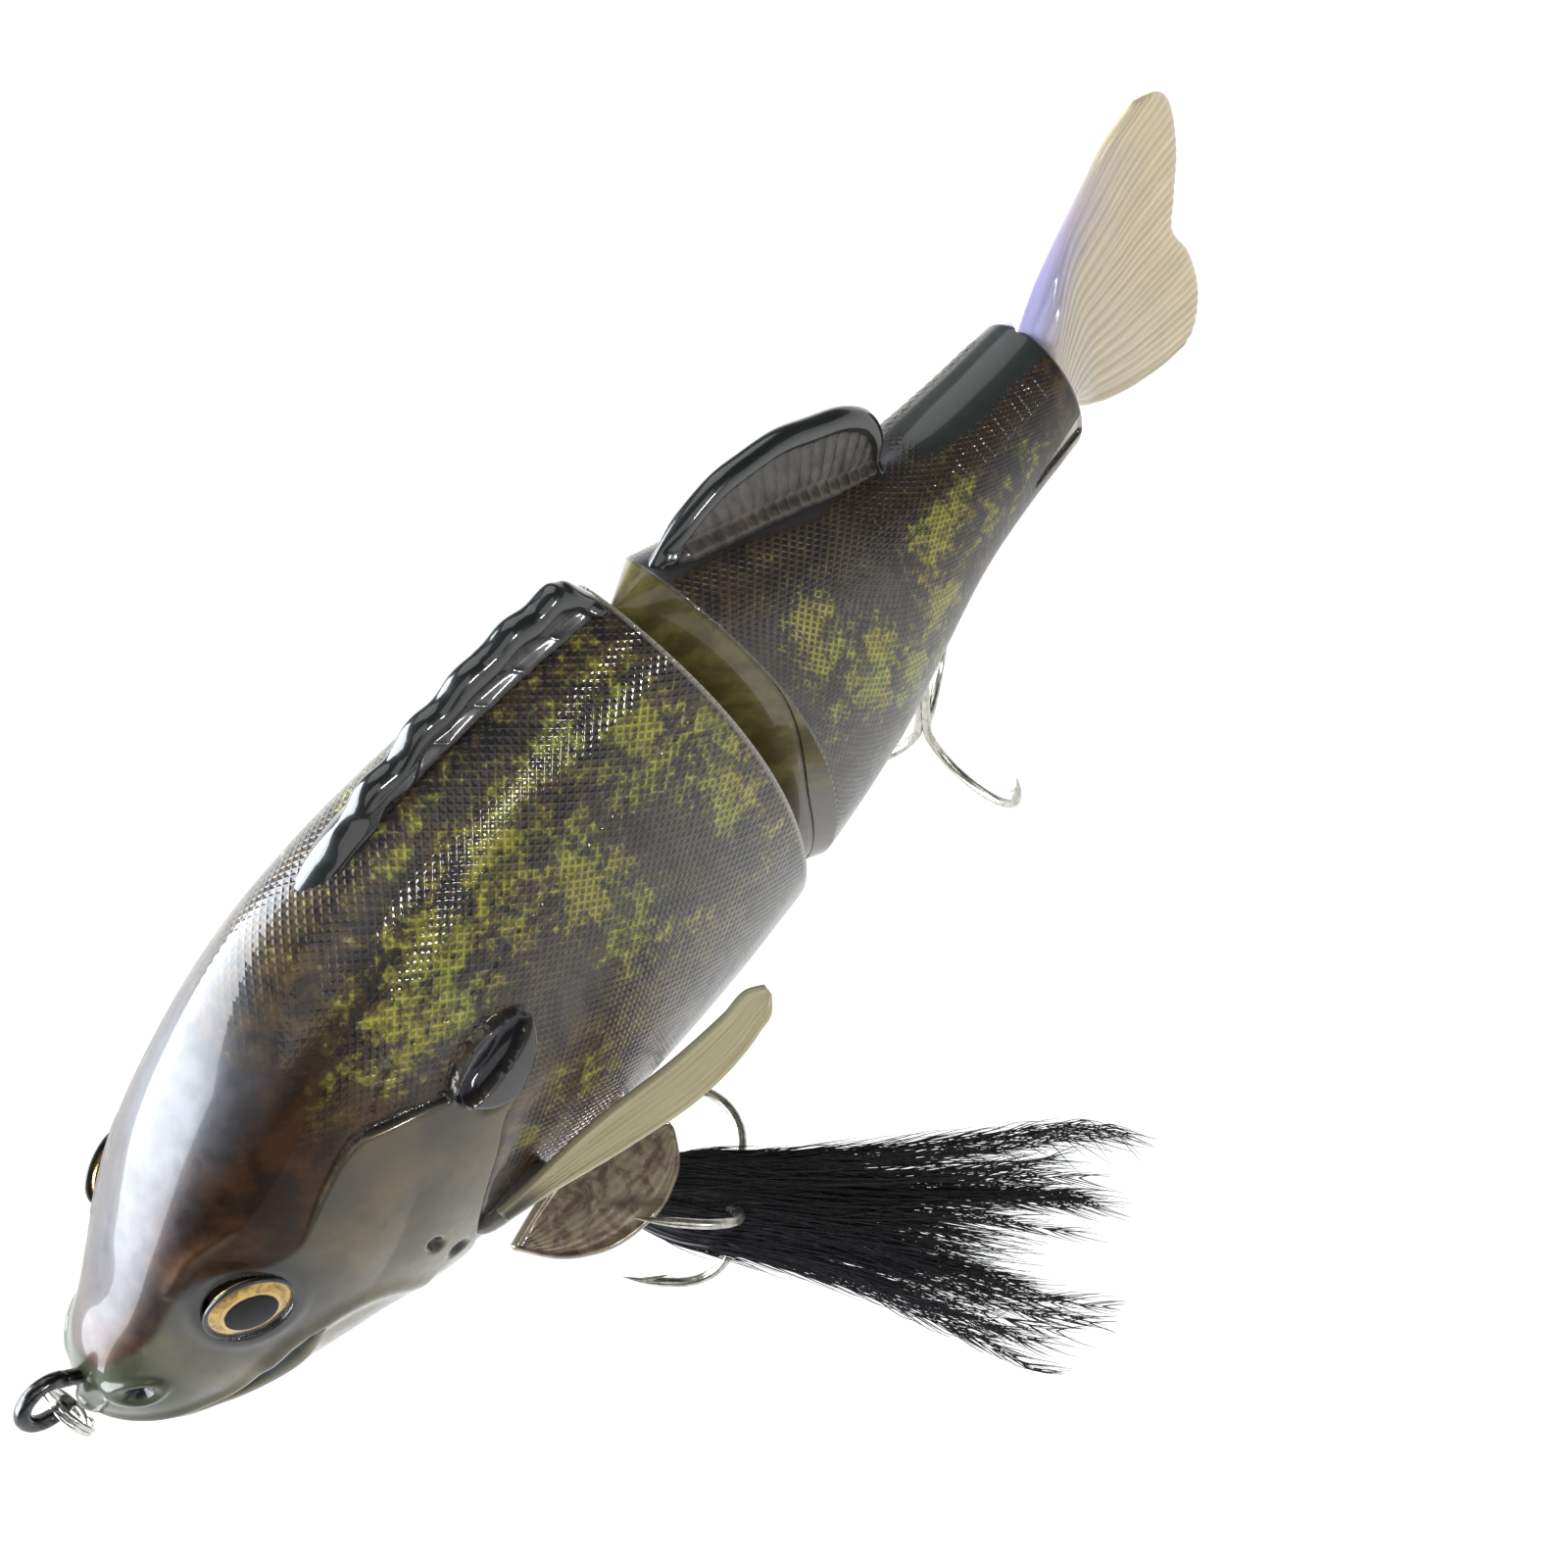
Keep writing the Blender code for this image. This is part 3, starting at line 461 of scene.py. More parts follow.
def skin_look():
    """Printed scale pattern, moulded head and grey belly under a clear coat."""
    look = Look("painted_skin", 0.36, 0.0, 1.0, 0.045, **{"Coat IOR": 1.44, "Specular IOR Level": 0.22})
    look.put(look.shader.inputs["Coat Weight"], look.step(look.field("crown"), 0.0, 1.0, 0.7, 0.32))
    scales, spot, chance = scale_cells(look)
    scaled = look.field("scaled")
    fine = look.noise(0.9, 4.0, 0.65)
    medium = look.noise(2.6, 4.0, 0.62, warp=0.6)
    broad = look.noise(8.0, 3.0, 0.5)
    # flank: near-black and brown ground, grey areas, copper areas
    ground = look.mottle(medium, 0.38, 0.62, (0.010, 0.007, 0.005), (0.062, 0.038, 0.014))
    grey = look.times(look.field("grey"), look.step(fine, 0.3, 0.6))
    ground = look.mix(grey, ground, (0.052, 0.052, 0.049))
    copper = look.mottle(medium, 0.4, 0.62, (0.055, 0.026, 0.010), (0.16, 0.13, 0.03))
    ground = look.mix(look.field("copper"), ground, copper)
    # yellow-green flecks, fewer on the spots of the scales, and black ones
    fleck = look.math("ADD", look.times(medium, 0.48), look.times(fine, 0.46))
    fleck = look.math("ADD", fleck, look.times(chance, 0.06))
    want = look.math("SUBTRACT", 0.66, look.times(look.field("yellow"), 0.235))
    flecks = look.times(look.step(look.math("SUBTRACT", fleck, want), -0.05, 0.11), 0.9)
    flecks = look.times(flecks, look.step(look.times(spot, scaled), 0.0, 1.0, 1.0, 0.5))
    yellow = look.mottle(broad, 0.42, 0.6, (0.305, 0.27, 0.016), (0.235, 0.285, 0.022))
    bright = look.times(look.step(fine, 0.46, 0.72), look.step(chance, 0.0, 1.0, 0.35, 0.9))
    ground = look.mix(flecks, ground, look.mix(bright, yellow, (0.46, 0.46, 0.09)))
    black = look.times(look.step(look.noise(3.4, 3.0, 0.5, (1.2, 1.0, 0.55)), 0.56, 0.62), 0.75)
    ground = look.mix(black, ground, (0.008, 0.007, 0.009))
    # belly and head
    pale = look.mottle(broad, 0.35, 0.65, (0.17, 0.165, 0.145), (0.27, 0.265, 0.25))
    belly = look.field("belly")
    belly = look.times(belly, look.step(look.math("ADD", belly, fine), 0.6, 1.1))
    ground = look.mix(belly, ground, pale)
    brown = look.mottle(look.noise(5.0, 4.0), 0.38, 0.66, (0.020, 0.010, 0.006), (0.066, 0.029, 0.012))
    # the top of the head goes greyer: a painted reflection of the light along the crown
    crown = look.paint(brown, ("upper", (0.080, 0.078, 0.084)))
    olive = look.noise(6.0, 4.0, 0.55)
    olive = look.mottle(olive, 0.35, 0.66, (0.064, 0.053, 0.029), (0.108, 0.089, 0.044))
    olive = look.paint(olive, ("shade", (0.034, 0.033, 0.036)), ("snout", (0.045, 0.052, 0.032)))
    ground = look.paint(ground, ("crown", crown), ("cheek", olive))
    # pale net between the scales and a dark spot on each
    gaps = look.field("gaps")
    ground = look.mix(look.times(gaps, scaled, 0.16), ground, (0.17, 0.155, 0.12))
    ground = look.mix(look.times(spot, scaled, gaps), ground, (0.013, 0.010, 0.009))
    # moulded details, the faces of the joint, a painted highlight along the rims and the cream of the
    # tail's root in the slot
    face = look.noise(3.0, 5.0, 0.6, (0.5, 1, 1))
    face = look.mottle(face, 0.38, 0.66, (0.066, 0.056, 0.017), (0.135, 0.118, 0.036))
    face = look.paint(face, ("face_low", (0.115, 0.092, 0.080)))
    ground = look.paint(ground, ("flap", (0.0045, 0.005, 0.010)), ("band", (0.028, 0.017, 0.007)),
                        ("gloss", (0.022, 0.026, 0.024)), ("mouth", (0.006, 0.020, 0.015)),
                        ("face", face), ("line", (0.006, 0.006, 0.008)), ("worn", (0.42, 0.40, 0.33)))
    clear = look.math("MULTIPLY_ADD", look.field("shade"), -0.7)
    look.put(clear.node.inputs[2], 1.0)
    pearl = look.math("ADD", look.times(look.field("cheek"), 0.26, clear),
                      look.times(look.field("crown"), 0.58))
    height = look.times(scales, scaled)
    relief = look.bump(look.noise(0.5, 2.0), 0.01, 0.6, look.bump(height, 0.14, 0.9))
    coat = look.bump(look.noise(4.0, 2.0), 0.02, 0.5, look.bump(height, 0.075, 0.6))
    return look.set(colour=ground, metal=pearl, normal=relief, coat_normal=coat,
                    rough=look.step(look.noise(2.0), 0.3, 0.7, 0.28, 0.42))


def ridge_look():
    """Moulded dorsal: dark glossy rim over a greyer rayed web."""
    look = Look("dorsal_gloss", 0.25, 0.0, 1.0, 0.03, **{"Specular IOR Level": 0.3})
    look.put(look.shader.inputs["Coat Weight"], look.step(look.field("rim"), 0.0, 1.0, 0.35, 1.0))
    marks = look.noise(1.3, 4.0, 0.6, (1, 1, 0.5))
    web = look.mottle(marks, 0.36, 0.66, look.vector("tone_low"), look.vector("tone_high"))
    web = look.mix(look.times(look.field("ray"), 0.55), web, (0.012, 0.011, 0.011))
    colour = look.paint(web, ("rim", (0.007, 0.009, 0.009)), ("line", (0.004, 0.004, 0.004)))
    return look.set(colour=colour, normal=look.bump(look.noise(0.8, 3.0), 0.015, 0.7),
                    rough=look.step(look.noise(3.0), 0.3, 0.7, 0.22, 0.36))


def satin_fin_look():
    """Dull plastic of the pectoral fins, streaked along its rays."""
    look = Look("pectoral_satin", 0.42, 0.12, 0.35, 0.25)
    streaks = look.noise(0.5, 4.0, 0.6, (0.06, 1, 1), look.vector("skin"))
    colour = look.mottle(streaks, 0.36, 0.66, (0.36, 0.31, 0.175), (0.43, 0.375, 0.225))
    colour = look.paint(colour, ("root", (0.10, 0.095, 0.08)), ("edge", (0.44, 0.40, 0.26)))
    return look.set(colour=colour, normal=look.bump(streaks, 0.03, 0.7))


def gloss_fin_look():
    """Blotched brown plastic of the pelvic fins, with painted pinkish highlights in patches and a paler
    edge.
    """
    look = Look("pelvic_gloss", 0.28, 0.25, 0.9, 0.05)
    patches = look.noise(2.4, 4.0, 0.62, warp=0.8)
    colour = look.mottle(patches, 0.40, 0.60, (0.085, 0.050, 0.030), (0.21, 0.165, 0.105))
    # painted highlights: lighter pinkish patches on the glossy fin
    pink_highlight = look.step(look.noise(1.6, 3.0, 0.6), 0.52, 0.72, 0.0, 0.6)
    colour = look.paint(look.mix(pink_highlight, colour, (0.33, 0.25, 0.19)), ("edge", (0.40, 0.34, 0.25)))
    return look.set(colour=colour, normal=look.bump(look.noise(1.2, 3.0), 0.03, 0.6))


def tail_look():
    """Pearl soft plastic with moulded rays, a painted violet pearl highlight along the upper edge and
    painted shade at the root.
    """
    values = {"Subsurface Weight": 0.25, "Subsurface Scale": 0.004, "Subsurface Radius": (1.0, 0.8, 0.5)}
    look = Look("soft_tail_pearl", 0.33, 0.0, 0.5, 0.15, **values)
    streaks = look.noise(0.9, 4.0, 0.6, (0.05, 1, 1), look.vector("skin"))
    colour = look.mottle(streaks, 0.34, 0.66, (0.40, 0.355, 0.262), (0.49, 0.445, 0.345))
    colour = look.mix(look.times(look.field("groove"), 0.34), colour, (0.35, 0.28, 0.17))
    # a painted violet highlight on the upper edge, and painted shade darkening the root
    colour = look.paint(colour, ("violet", (0.20, 0.21, 0.60)), ("root", (0.30, 0.25, 0.18)))
    return look.set(colour=colour, normal=look.bump(streaks, 0.035, 0.6))


def metal_look(name, dark, bright, roughness):
    """Bare wire with fine drawn marks."""
    look = Look(name, roughness, 1.0)
    marks = look.noise(0.7, 4.0, 0.6, (1, 1, 0.25))
    rough = look.step(look.noise(1.6), 0.3, 0.7, roughness * 0.75, roughness * 1.4)
    return look.set(colour=look.mottle(marks, 0.32, 0.68, dark, bright), rough=rough,
                    normal=look.bump(marks, 0.012, 0.6))


def foil_look():
    """Gold foil of the iris, with paler rings."""
    look = Look("eye_foil", 0.22, 0.75, 0.6, 0.03)
    flakes = look.cells(0.55, output="Color")
    marks = look.noise(1.1, 4.0, 0.65)
    colour = look.mottle(marks, 0.36, 0.64, (0.24, 0.125, 0.012), (0.62, 0.40, 0.060))
    colour = look.mix(look.times(look.axis(1, flakes), 0.28), colour, (0.85, 0.62, 0.22))
    colour = look.mix(look.times(look.field("pale"), 0.8), colour, (0.78, 0.52, 0.27))
    return look.set(colour=colour, normal=look.bump(look.noise(0.45, 3.0), 0.05, 0.9))


def flat_look(name, low, high, roughness, size=1.0, coat=0.0, relief=0.02, **values):
    """Two near tones in soft marks."""
    look = Look(name, roughness, 0.0, coat, 0.03, **values)
    marks = look.noise(size, 4.0)
    return look.set(colour=look.mottle(marks, 0.35, 0.65, low, high),
                    normal=look.bump(marks, relief, 0.7))


def glass_look():
    """Clear dome of the eye."""
    look = Look("eye_dome", 0.02, 0.0, 0.8, 0.02, Alpha=0.06)
    colour = look.mottle(look.noise(3.0), 0.3, 0.7, (0.010, 0.010, 0.010), (0.016, 0.016, 0.016))
    return look.set(colour=colour, normal=look.bump(look.noise(2.5, 1.0), 0.006, 0.4))


def feather_look():
    """Black fibres with a faint sheen."""
    values = {"Sheen Weight": 0.25, "Sheen Roughness": 0.4, "Specular IOR Level": 0.35}
    look = Look("hackle_black", 0.38, **values)
    strands = look.noise(1.2, 3.0, 0.6)
    colour = look.mottle(strands, 0.35, 0.7, (0.0035, 0.0035, 0.005), (0.013, 0.013, 0.017))
    return look.set(colour=colour, normal=look.bump(strands, 0.02, 0.5))


# ---------------------------------------------------------------- body skins
def section_angles(half, tall, count):
    """Angles from the back round to the belly, evenly spaced on the skin."""
    fine = np.linspace(0.0, np.pi, 4000)
    lengths = np.hypot(np.diff(half * np.sin(fine)), np.diff(tall * np.cos(fine)))
    reach = np.concatenate(([0.0], np.cumsum(lengths)))
    return np.interp(np.linspace(0, reach[-1], count), reach, fine), reach[-1]


def section_grid(profile, xs, angles, bows, shrink=None):
    """Skin points of one side, (stations, angles, 3), with y positive."""
    xs = np.asarray(xs, float)[:, None]
    angle = angles[None, :]
    top = curve(profile, 1, xs)
    bottom = curve(profile, 2, xs)
    half = curve(profile, 3, xs)
    middle = (top + bottom) / 2
    tall = (top - bottom) / 2
    if shrink is not None:
        tall = tall * shrink[:, None]
        half = half * shrink[:, None]
    power = np.where(angle > np.pi / 2, 0.85, 1.0)
    y = half * np.sin(angle) ** power
    z = middle + tall * np.cos(angle)
    x = xs + np.asarray(bows)[:, None] * (1 - np.cos(angle) ** 2)
    return np.stack((x, y, z), -1)


def grid_normals(points):
    """Outward normals of one side's grid."""
    along = np.gradient(points, axis=0)
    around = np.gradient(points, axis=1)
    normal = np.cross(around, along)
    size = np.linalg.norm(normal, axis=-1, keepdims=True)
    normal = normal / np.maximum(size, 1e-9)
    outward = np.sign(np.sum(normal * (points * (0, 1, 0.3)), axis=-1).mean())
    return normal * outward


def empty_fields(shape):
    names = """scaled grey copper yellow belly upper crown shade snout cheek gaps
               flap band gloss mouth face face_low line worn"""
    return {name: np.zeros(shape) for name in names.split()}


def scale_relief(along, around, height):
    """Diamond scales that match the painted ones."""
    waves = (np.sin(np.pi * (along + around) / SCALE_PITCH)
             * np.sin(np.pi * (along - around) / SCALE_PITCH))
    return height * np.abs(waves)


CHEEK_POINTS = ((-3, 2.0), (4, 4.6), (9, 6.4), (13, 9.6), (17, 11.6), (21.2, 10.0), (24.6, 9.6),
                (29.8, 13.0), (34.5, 15.2), (38.0, 14.2), (43.2, 11.4), (43.9, 8.4), (45.0, 5.4),
                (48.4, 3.7), (45.7, 2.5), (43.2, -0.6), (40.3, -4.0), (37.6, -8.0), (36.1, -11.6),
                (33.5, -17), (28, -26), (10, -26), (-4, -12))
CHEEK = spline(CHEEK_POINTS, 120, True)
CHEEK_TOP = spline(((22.6, 8.9), *CHEEK_POINTS[6:11]), 40)
GILL_EDGE = spline(CHEEK_POINTS[13:19], 40)
FLAP_POINTS = ((43.4, 11.0), (46.4, 13.3), (50.4, 13.8), (53.4, 12.4), (53.6, 9.6), (51.4, 6.2),
               (48.0, 4.2), (45.4, 5.8), (43.9, 8.4))
FLAP = spline(FLAP_POINTS, 60, True)
FLAP_LINE = spline(FLAP_POINTS[2:7], 30)
MOUTH = spline(((19.6, -3.2), (15.8, -4.9), (10.8, -6.8), (6.0, -6.4), (2.0, -4.4), (-2.0, -3.2)), 40)
PREOPERCLE = spline(((14.5, -3.4), (18.0, -2.6), (22.5, -3.4), (26.0, -6.6), (28.6, -12.0)), 40)
LATERAL = spline(((36.5, 15.8), (42.4, 18.7), (50.0, 17.5), (57.1, 18.2), (68.4, 18.5),
                  (84.0, 18.5)), 60)
BROW = spline(((21.5, 14.6), (17.5, 13.4), (13.6, 10.6)), 20)

# patches of paint: centre x, centre z, radius along, radius up, strength
FRONT_GAPS = ((78, -9, 13, 9, 0.95), (62, 12, 10, 9, 0.4), (76, 10, 8, 12, 0.6))
FRONT_YELLOW = (
    (51, 23, 8, 6, 1.0), (45, 20, 6, 6, 0.9), (61, 25, 9, 5, 0.95), (66, 16, 6, 10, 1.05),
    (67, 6, 5, 8, 0.95), (79, 23, 5, 9, 1.0), (83, 10, 5, 13, 1.05), (72, 27, 8, 4, 0.8),
    (50, 18, 7, 4, 0.95), (37, 18, 7, 5, 0.85), (57, 20, 8, 6, 0.8), (72, -3, 6, 4, 0.7),
    (84, -4, 3.5, 7, 0.8), (75, 20, 4, 6, 0.8), (54, -4, 8, 5, 0.7), (60, 30, 14, 3, 0.55),
)
FRONT_GREY = ((74, 8, 7.5, 10, 0.9), (58, 8, 6, 6, 0.75), (46, 16, 5, 2.4, 0.9),
              (70, 0, 10, 5, 0.7), (62, 30, 16, 2.4, 0.5), (84, -12, 6, 8, 0.6))
FRONT_COPPER = ((51, -3, 8, 6, 0.9), (60, -8, 9, 7, 0.85), (74, -8, 10, 4, 0.5))
CHEEK_SHADE = ((42, 9, 5, 4, 0.6), (30, 12, 9, 2.2, 0.5))
REAR_GAPS = ((104, 18, 12, 6, 0.7), (97, 14, 6, 8, 0.6), (104, -4, 9, 6, 0.3))
REAR_YELLOW = (
    (99, 12, 4.6, 7, 1.15), (103, 3, 4.6, 8, 1.2), (107, -4, 4.2, 7, 1.15), (97, 2, 4, 6, 0.7),
    (118, 7, 6.5, 4, 1.15), (114, 0, 4, 6, 1.0), (131, 4, 5, 3, 0.8), (124, 2, 7, 4, 0.65),
    (111, -8, 4, 6, 0.8),
)
REAR_GREY = ((108, 9, 6, 6, 0.9), (112, -2, 8, 7, 0.8), (98, -8, 6, 12, 0.7),
             (128, 0, 9, 6, 0.85), (104, 15, 10, 3, 0.4), (94, 4, 4, 8, 0.5))


def front_features(x, y, z, along, around):
    """Relief and paint fields of the front section's skin."""
    f = empty_fields(x.shape)
    cheek_depth = depth_inside(x, z, CHEEK)
    flap_depth = depth_inside(x, z, FLAP)
    f["cheek"] = smooth(cheek_depth, -0.35, 0.35)
    outside = 1 - f["cheek"]
    crown_edge = x + 0.55 * (z - 20) + 1.6 * wobble(x, z, 3.0, 1)
    f["crown"] = outside * fade(crown_edge, 30.0, 47.0) * smooth(z, -2, 6)
    # upper: a greyer tone along the top of the head, a painted reflection of the light on the crown
    f["upper"] = smooth(z - np.interp(x, (0, 8, 20, 45), (1.0, 5.6, 15.6, 26.0)), 0.0, 4.0)
    f["scaled"] = outside * smooth(x - 0.45 * (z - 12.0), 26.0, 46.0) * fade(flap_depth, -0.8, 0.0)
    behind_gill = outside * fade(line_distance(x, z, GILL_EDGE), 1.5, 5.0) * smooth(4.0 - z, 0.0, 3.0)
    f["scaled"] *= 1 - 0.9 * behind_gill
    f["gaps"] = np.clip(0.12 + blobs(x, z, FRONT_GAPS), 0, 1)
    f["yellow"] = blobs(x, z, FRONT_YELLOW)
    f["grey"] = blobs(x, z, FRONT_GREY) * smooth(x, 36, 44)
    f["grey"] = np.maximum(f["grey"], 0.9 * behind_gill)
    f["copper"] = blobs(x, z, FRONT_COPPER)
    low = np.interp(x, (30, 55, 90), (-12.0, -18.0, -14.5))
    f["belly"] = smooth(low - z + 1.4 * wobble(x, z, 2.6, 4), 0.0, 9.0) * outside
    eye = off_axis(np.stack((x, y, z), -1), np.array(EYE_CENTRE), unit(EYE_NORMAL))
    f["shade"] = np.clip(fade(eye, 3.5, 11.0) + blobs(x, z, CHEEK_SHADE), 0, 1)
    f["snout"] = fade(x, 5.0, 13.0) * smooth(z, -7.0, -2.0) * 0.9
    oval = np.hypot(((x - 48.4) * 0.985 + (z - 10.6) * 0.17) / 5.3,
                    (-(x - 48.4) * 0.17 + (z - 10.6) * 0.985) / 2.15)
    f["flap"] = fade(oval, 0.88, 1.06)
    grey_flap = smooth(flap_depth, -0.2, 0.2) * (1 - f["flap"])
    f["cheek"] = np.maximum(f["cheek"], grey_flap)
    f["shade"] = np.maximum(f["shade"], 0.92 * grey_flap)
    f["crown"] *= 1 - grey_flap
    lip = line_distance(x, z, MOUTH)
    gape = np.interp(x, (-2, 2, 9, 13, 16.5, 18.6, 19.6), (0.35, 0.5, 0.9, 1.75, 1.7, 0.9, 0.1))
    f["mouth"] = fade(lip, gape * 0.75, gape * 1.1)
    hole = np.hypot((x - 4.4) / 1.15, (z - 1.6) / 0.75)
    pits = np.minimum(np.hypot((x - 32.4) / 1.1, (z + 5.2) / 2.0),
                      np.hypot((x - 33.4) / 1.5, (z + 10.6) / 1.8))
    groove = bell(line_distance(x, z, CHEEK_TOP) / 0.42) * smooth(x, 30, 38)
    groove = np.maximum(groove, bell(line_distance(x, z, GILL_EDGE) / 0.30))
    groove = np.maximum(groove, 0.8 * bell(line_distance(x, z, FLAP_LINE) / 0.22))
    side_line = line_distance(x, z, LATERAL)
    dots = bell(side_line / 0.35) * smooth(np.sin(along * 2 * np.pi / 1.7), 0.3, 0.9)
    dotted = 0.7 * dots * smooth(x, 36, 40) * fade(x, 60, 80)
    dark = (groove, fade(hole, 0.7, 1.1), 0.9 * fade(pits, 0.7, 1.0), dotted, fade(eye, 4.0, 4.25))
    f["line"] = np.clip(np.maximum.reduce(dark), 0, 1)
    relief = scale_relief(along, around, SCALE_RELIEF) * f["scaled"]
    relief += 0.55 * f["cheek"] * smooth(x, 22.0, 30.0) * fade(cheek_depth, 6.0, 16.0)
    relief += 0.5 * grey_flap - 0.9 * f["flap"] * smooth(1.1 - oval, 0.0, 0.7)
    relief -= 0.38 * groove
    relief -= 1.3 * fade(lip, 0.0, gape + 0.25)
    relief += 0.45 * bell((lip - gape - 0.9) / 0.8) * fade(x, 15.0, 20.0)
    relief += 0.35 * bell((hole - 1.7) / 0.5) - 0.8 * fade(hole, 0.3, 1.1)
    relief -= 0.9 * fade(pits, 0.2, 1.0)
    relief += 0.14 * bell((eye - 5.0) / 0.8) - 1.0 * fade(eye, 3.85, 4.1)
    relief += 0.35 * bell(line_distance(x, z, PREOPERCLE) / 1.3) * f["cheek"]
    relief += 0.13 * bell(line_distance(x, z, BROW) / 0.4)
    relief -= 0.18 * dots + 0.06 * bell(side_line / 0.5)
    relief *= smooth(y, 0.3, 2.5)
    return f, relief


def rear_features(x, y, z, along, around):
    """Relief and paint fields of the rear section's skin."""
    f = empty_fields(x.shape)
    f["yellow"] = blobs(x, z, REAR_YELLOW)
    f["grey"] = blobs(x, z, REAR_GREY)
    f["scaled"] = smooth(REAR_START + 49.2 - x, 0.0, 4.0)
    f["gaps"] = np.clip(0.25 + blobs(x, z, REAR_GAPS), 0, 1)
    low = np.interp(x, (90, 105, 115, 140), (-15.0, -12.5, -9.5, -5.5))
    f["belly"] = smooth(low - z + 1.2 * wobble(x, z, 2.4, 2), 0.0, 7.0)
    back = np.interp(x, (90, 98, 108, 114, 120, 128, 140), (26.5, 22.5, 16.6, 14.0, 11.4, 9.6, 9.3))
    tooth = 0.55 * np.abs(((x / 1.25) % 1.0) - 0.5) * 2
    above = z - back
    f["gloss"] = smooth(above - tooth, -0.3, -0.1) * smooth(x, 119.0, 123.0)
    f["crown"] = smooth(above, 0.3, 0.8) * fade(x, 119.0, 124.0)
    # the top of the back is painted greyer as well, a painted reflection
    f["upper"] = f["crown"]
    band = smooth(above, -3.0, -2.3) * fade(above - tooth, -0.3, -0.1) * smooth(x, 107, 113)
    f["band"] = band * (0.75 + 0.25 * wobble(x, z, 0.9, 3)) * fade(x, 136.6, 137.6)
    f["scaled"] *= 1 - np.maximum(f["gloss"], f["crown"])
    # the slot at the end: the cream of the tail's root showing in it, black below
    slot_top = np.interp(x, (131.0, 133.0, 139.5), (-1.0, -0.2, 1.5))
    slot = smooth(slot_top - z, 0.0, 0.35) * smooth(z + 1.9, 0.0, 0.35) * smooth(x, 131.0, 131.8)
    f["worn"] = slot * smooth(z + 1.2, 0.0, 0.5)
    f["line"] = 0.95 * slot * (1 - f["worn"])
    coarse = 1 + 1.2 * f["gaps"]
    relief = scale_relief(along, around, SCALE_RELIEF * coarse) * f["scaled"]
    relief += 0.09 * np.abs(np.sin(np.pi * x / 1.25)) * smooth(f["band"], 0.2, 0.8)
    relief -= 0.4 * slot
    relief *= smooth(y, 0.2, 1.5)
    return f, relief


def face_rows(rim, line_x, steps, bulge, shrink=0.97):
    """Rows from a rim in to the upright line a vee or wedge meets on."""
    line = np.stack((np.full(len(rim), line_x), np.zeros(len(rim)), rim[:, 2] * shrink), -1)
    rows = []
    for t in steps:
        row = rim * (1 - t) + line * t
        row[:, 0] -= bulge * math.sin(math.pi * min(1.0, t)) * np.sqrt(np.clip(rim[:, 1] / 11.0, 0, 1))
        rows.append(row)
    return np.array(rows)


def painted_side(grid, xs, reach, features, kept):
    """A side's grid with its relief, and its paint fields.  kept is how much relief a station keeps."""
    around = np.tile(np.linspace(0, reach, grid.shape[1]), (len(xs), 1))
    along = np.repeat(xs[:, None], grid.shape[1], 1)
    fields, relief = features(grid[..., 0], grid[..., 1], grid[..., 2], along, around)
    relief *= kept[:, None]
    fields["skin"] = np.stack((along, around, along * 0), -1)
    return grid + grid_normals(grid) * relief[..., None], fields


def face_fields(fields, end, count, **given):
    """Fields of the rows inside a vee or wedge: the skin's place carries on from the row at its end."""
    shape = (count, fields["line"].shape[1])
    extra = {key: np.zeros(shape) + given.get(key, 0.0) for key in fields if key != "skin"}
    extra["skin"] = np.repeat(fields["skin"][end][None], count, 0)
    return extra


def skins(section, grid, fields, look):
    """The painted left and right halves of a section."""
    faces = grid_faces(*grid.shape[:2])
    flat = {key: values.reshape(-1, *values.shape[2:]) for key, values in fields.items()}
    for word, side in SIDES:
        points = grid.reshape(-1, 3) * (1, side, 1)
        shape = (points, faces if side > 0 else faces[:, ::-1])
        add_piece(f"{section}_skin_{word}", shape, look, f"{section}_section",
                  (f"{section}_shell_{word}",), 62, flat, weld=False)


def front_skin(look):
    """Front section's halves, from the closed nose back to the rim, then in to the bottom of the vee."""
    angles, reach = section_angles(half=13.2, tall=29.5, count=286)
    nose = -0.9 + 2.6 * (1 - np.cos(np.linspace(0, np.pi / 2, 14)))[:-1]
    xs = np.concatenate((nose, np.linspace(1.7, FRONT_END, 306)))
    shrink = np.sqrt(np.clip(1 - (np.clip(1.9 - xs, 0, 3) / 2.85) ** 2, 0.0004, 1))
    bows = FRONT_BULGE * np.clip((xs - 66.0) / (FRONT_END - 66.0), 0, 1) ** 2
    grid = section_grid(FRONT_PROFILE, xs, angles, bows, shrink)
    kept = fade(xs, FRONT_END - 0.5, FRONT_END)
    grid, fields = painted_side(grid, xs, reach, front_features, kept)
    # a pale line along the front rim: a painted highlight
    fields["worn"] += (smooth(xs, FRONT_END - 0.42, FRONT_END - 0.15) * 0.7)[:, None]
    steps = (0.015, 0.04, 0.1, 0.2, 0.3, 0.4, 0.5, 0.6, 0.7, 0.8, 0.9, 1.0)
    vee = face_rows(grid[-1], SOCKET_X, steps, -0.4)
    # the first rows of the vee carry the painted rim highlight on
    worn = np.where(np.arange(len(steps)) < 2, 0.7, 0.0)[:, None]
    extra = face_fields(fields, -1, len(steps), face=0.9, face_low=0.6, worn=worn)
    fields = {key: np.concatenate((fields[key], extra[key])) for key in fields}
    skins("front", np.concatenate((grid, vee)), fields, look)


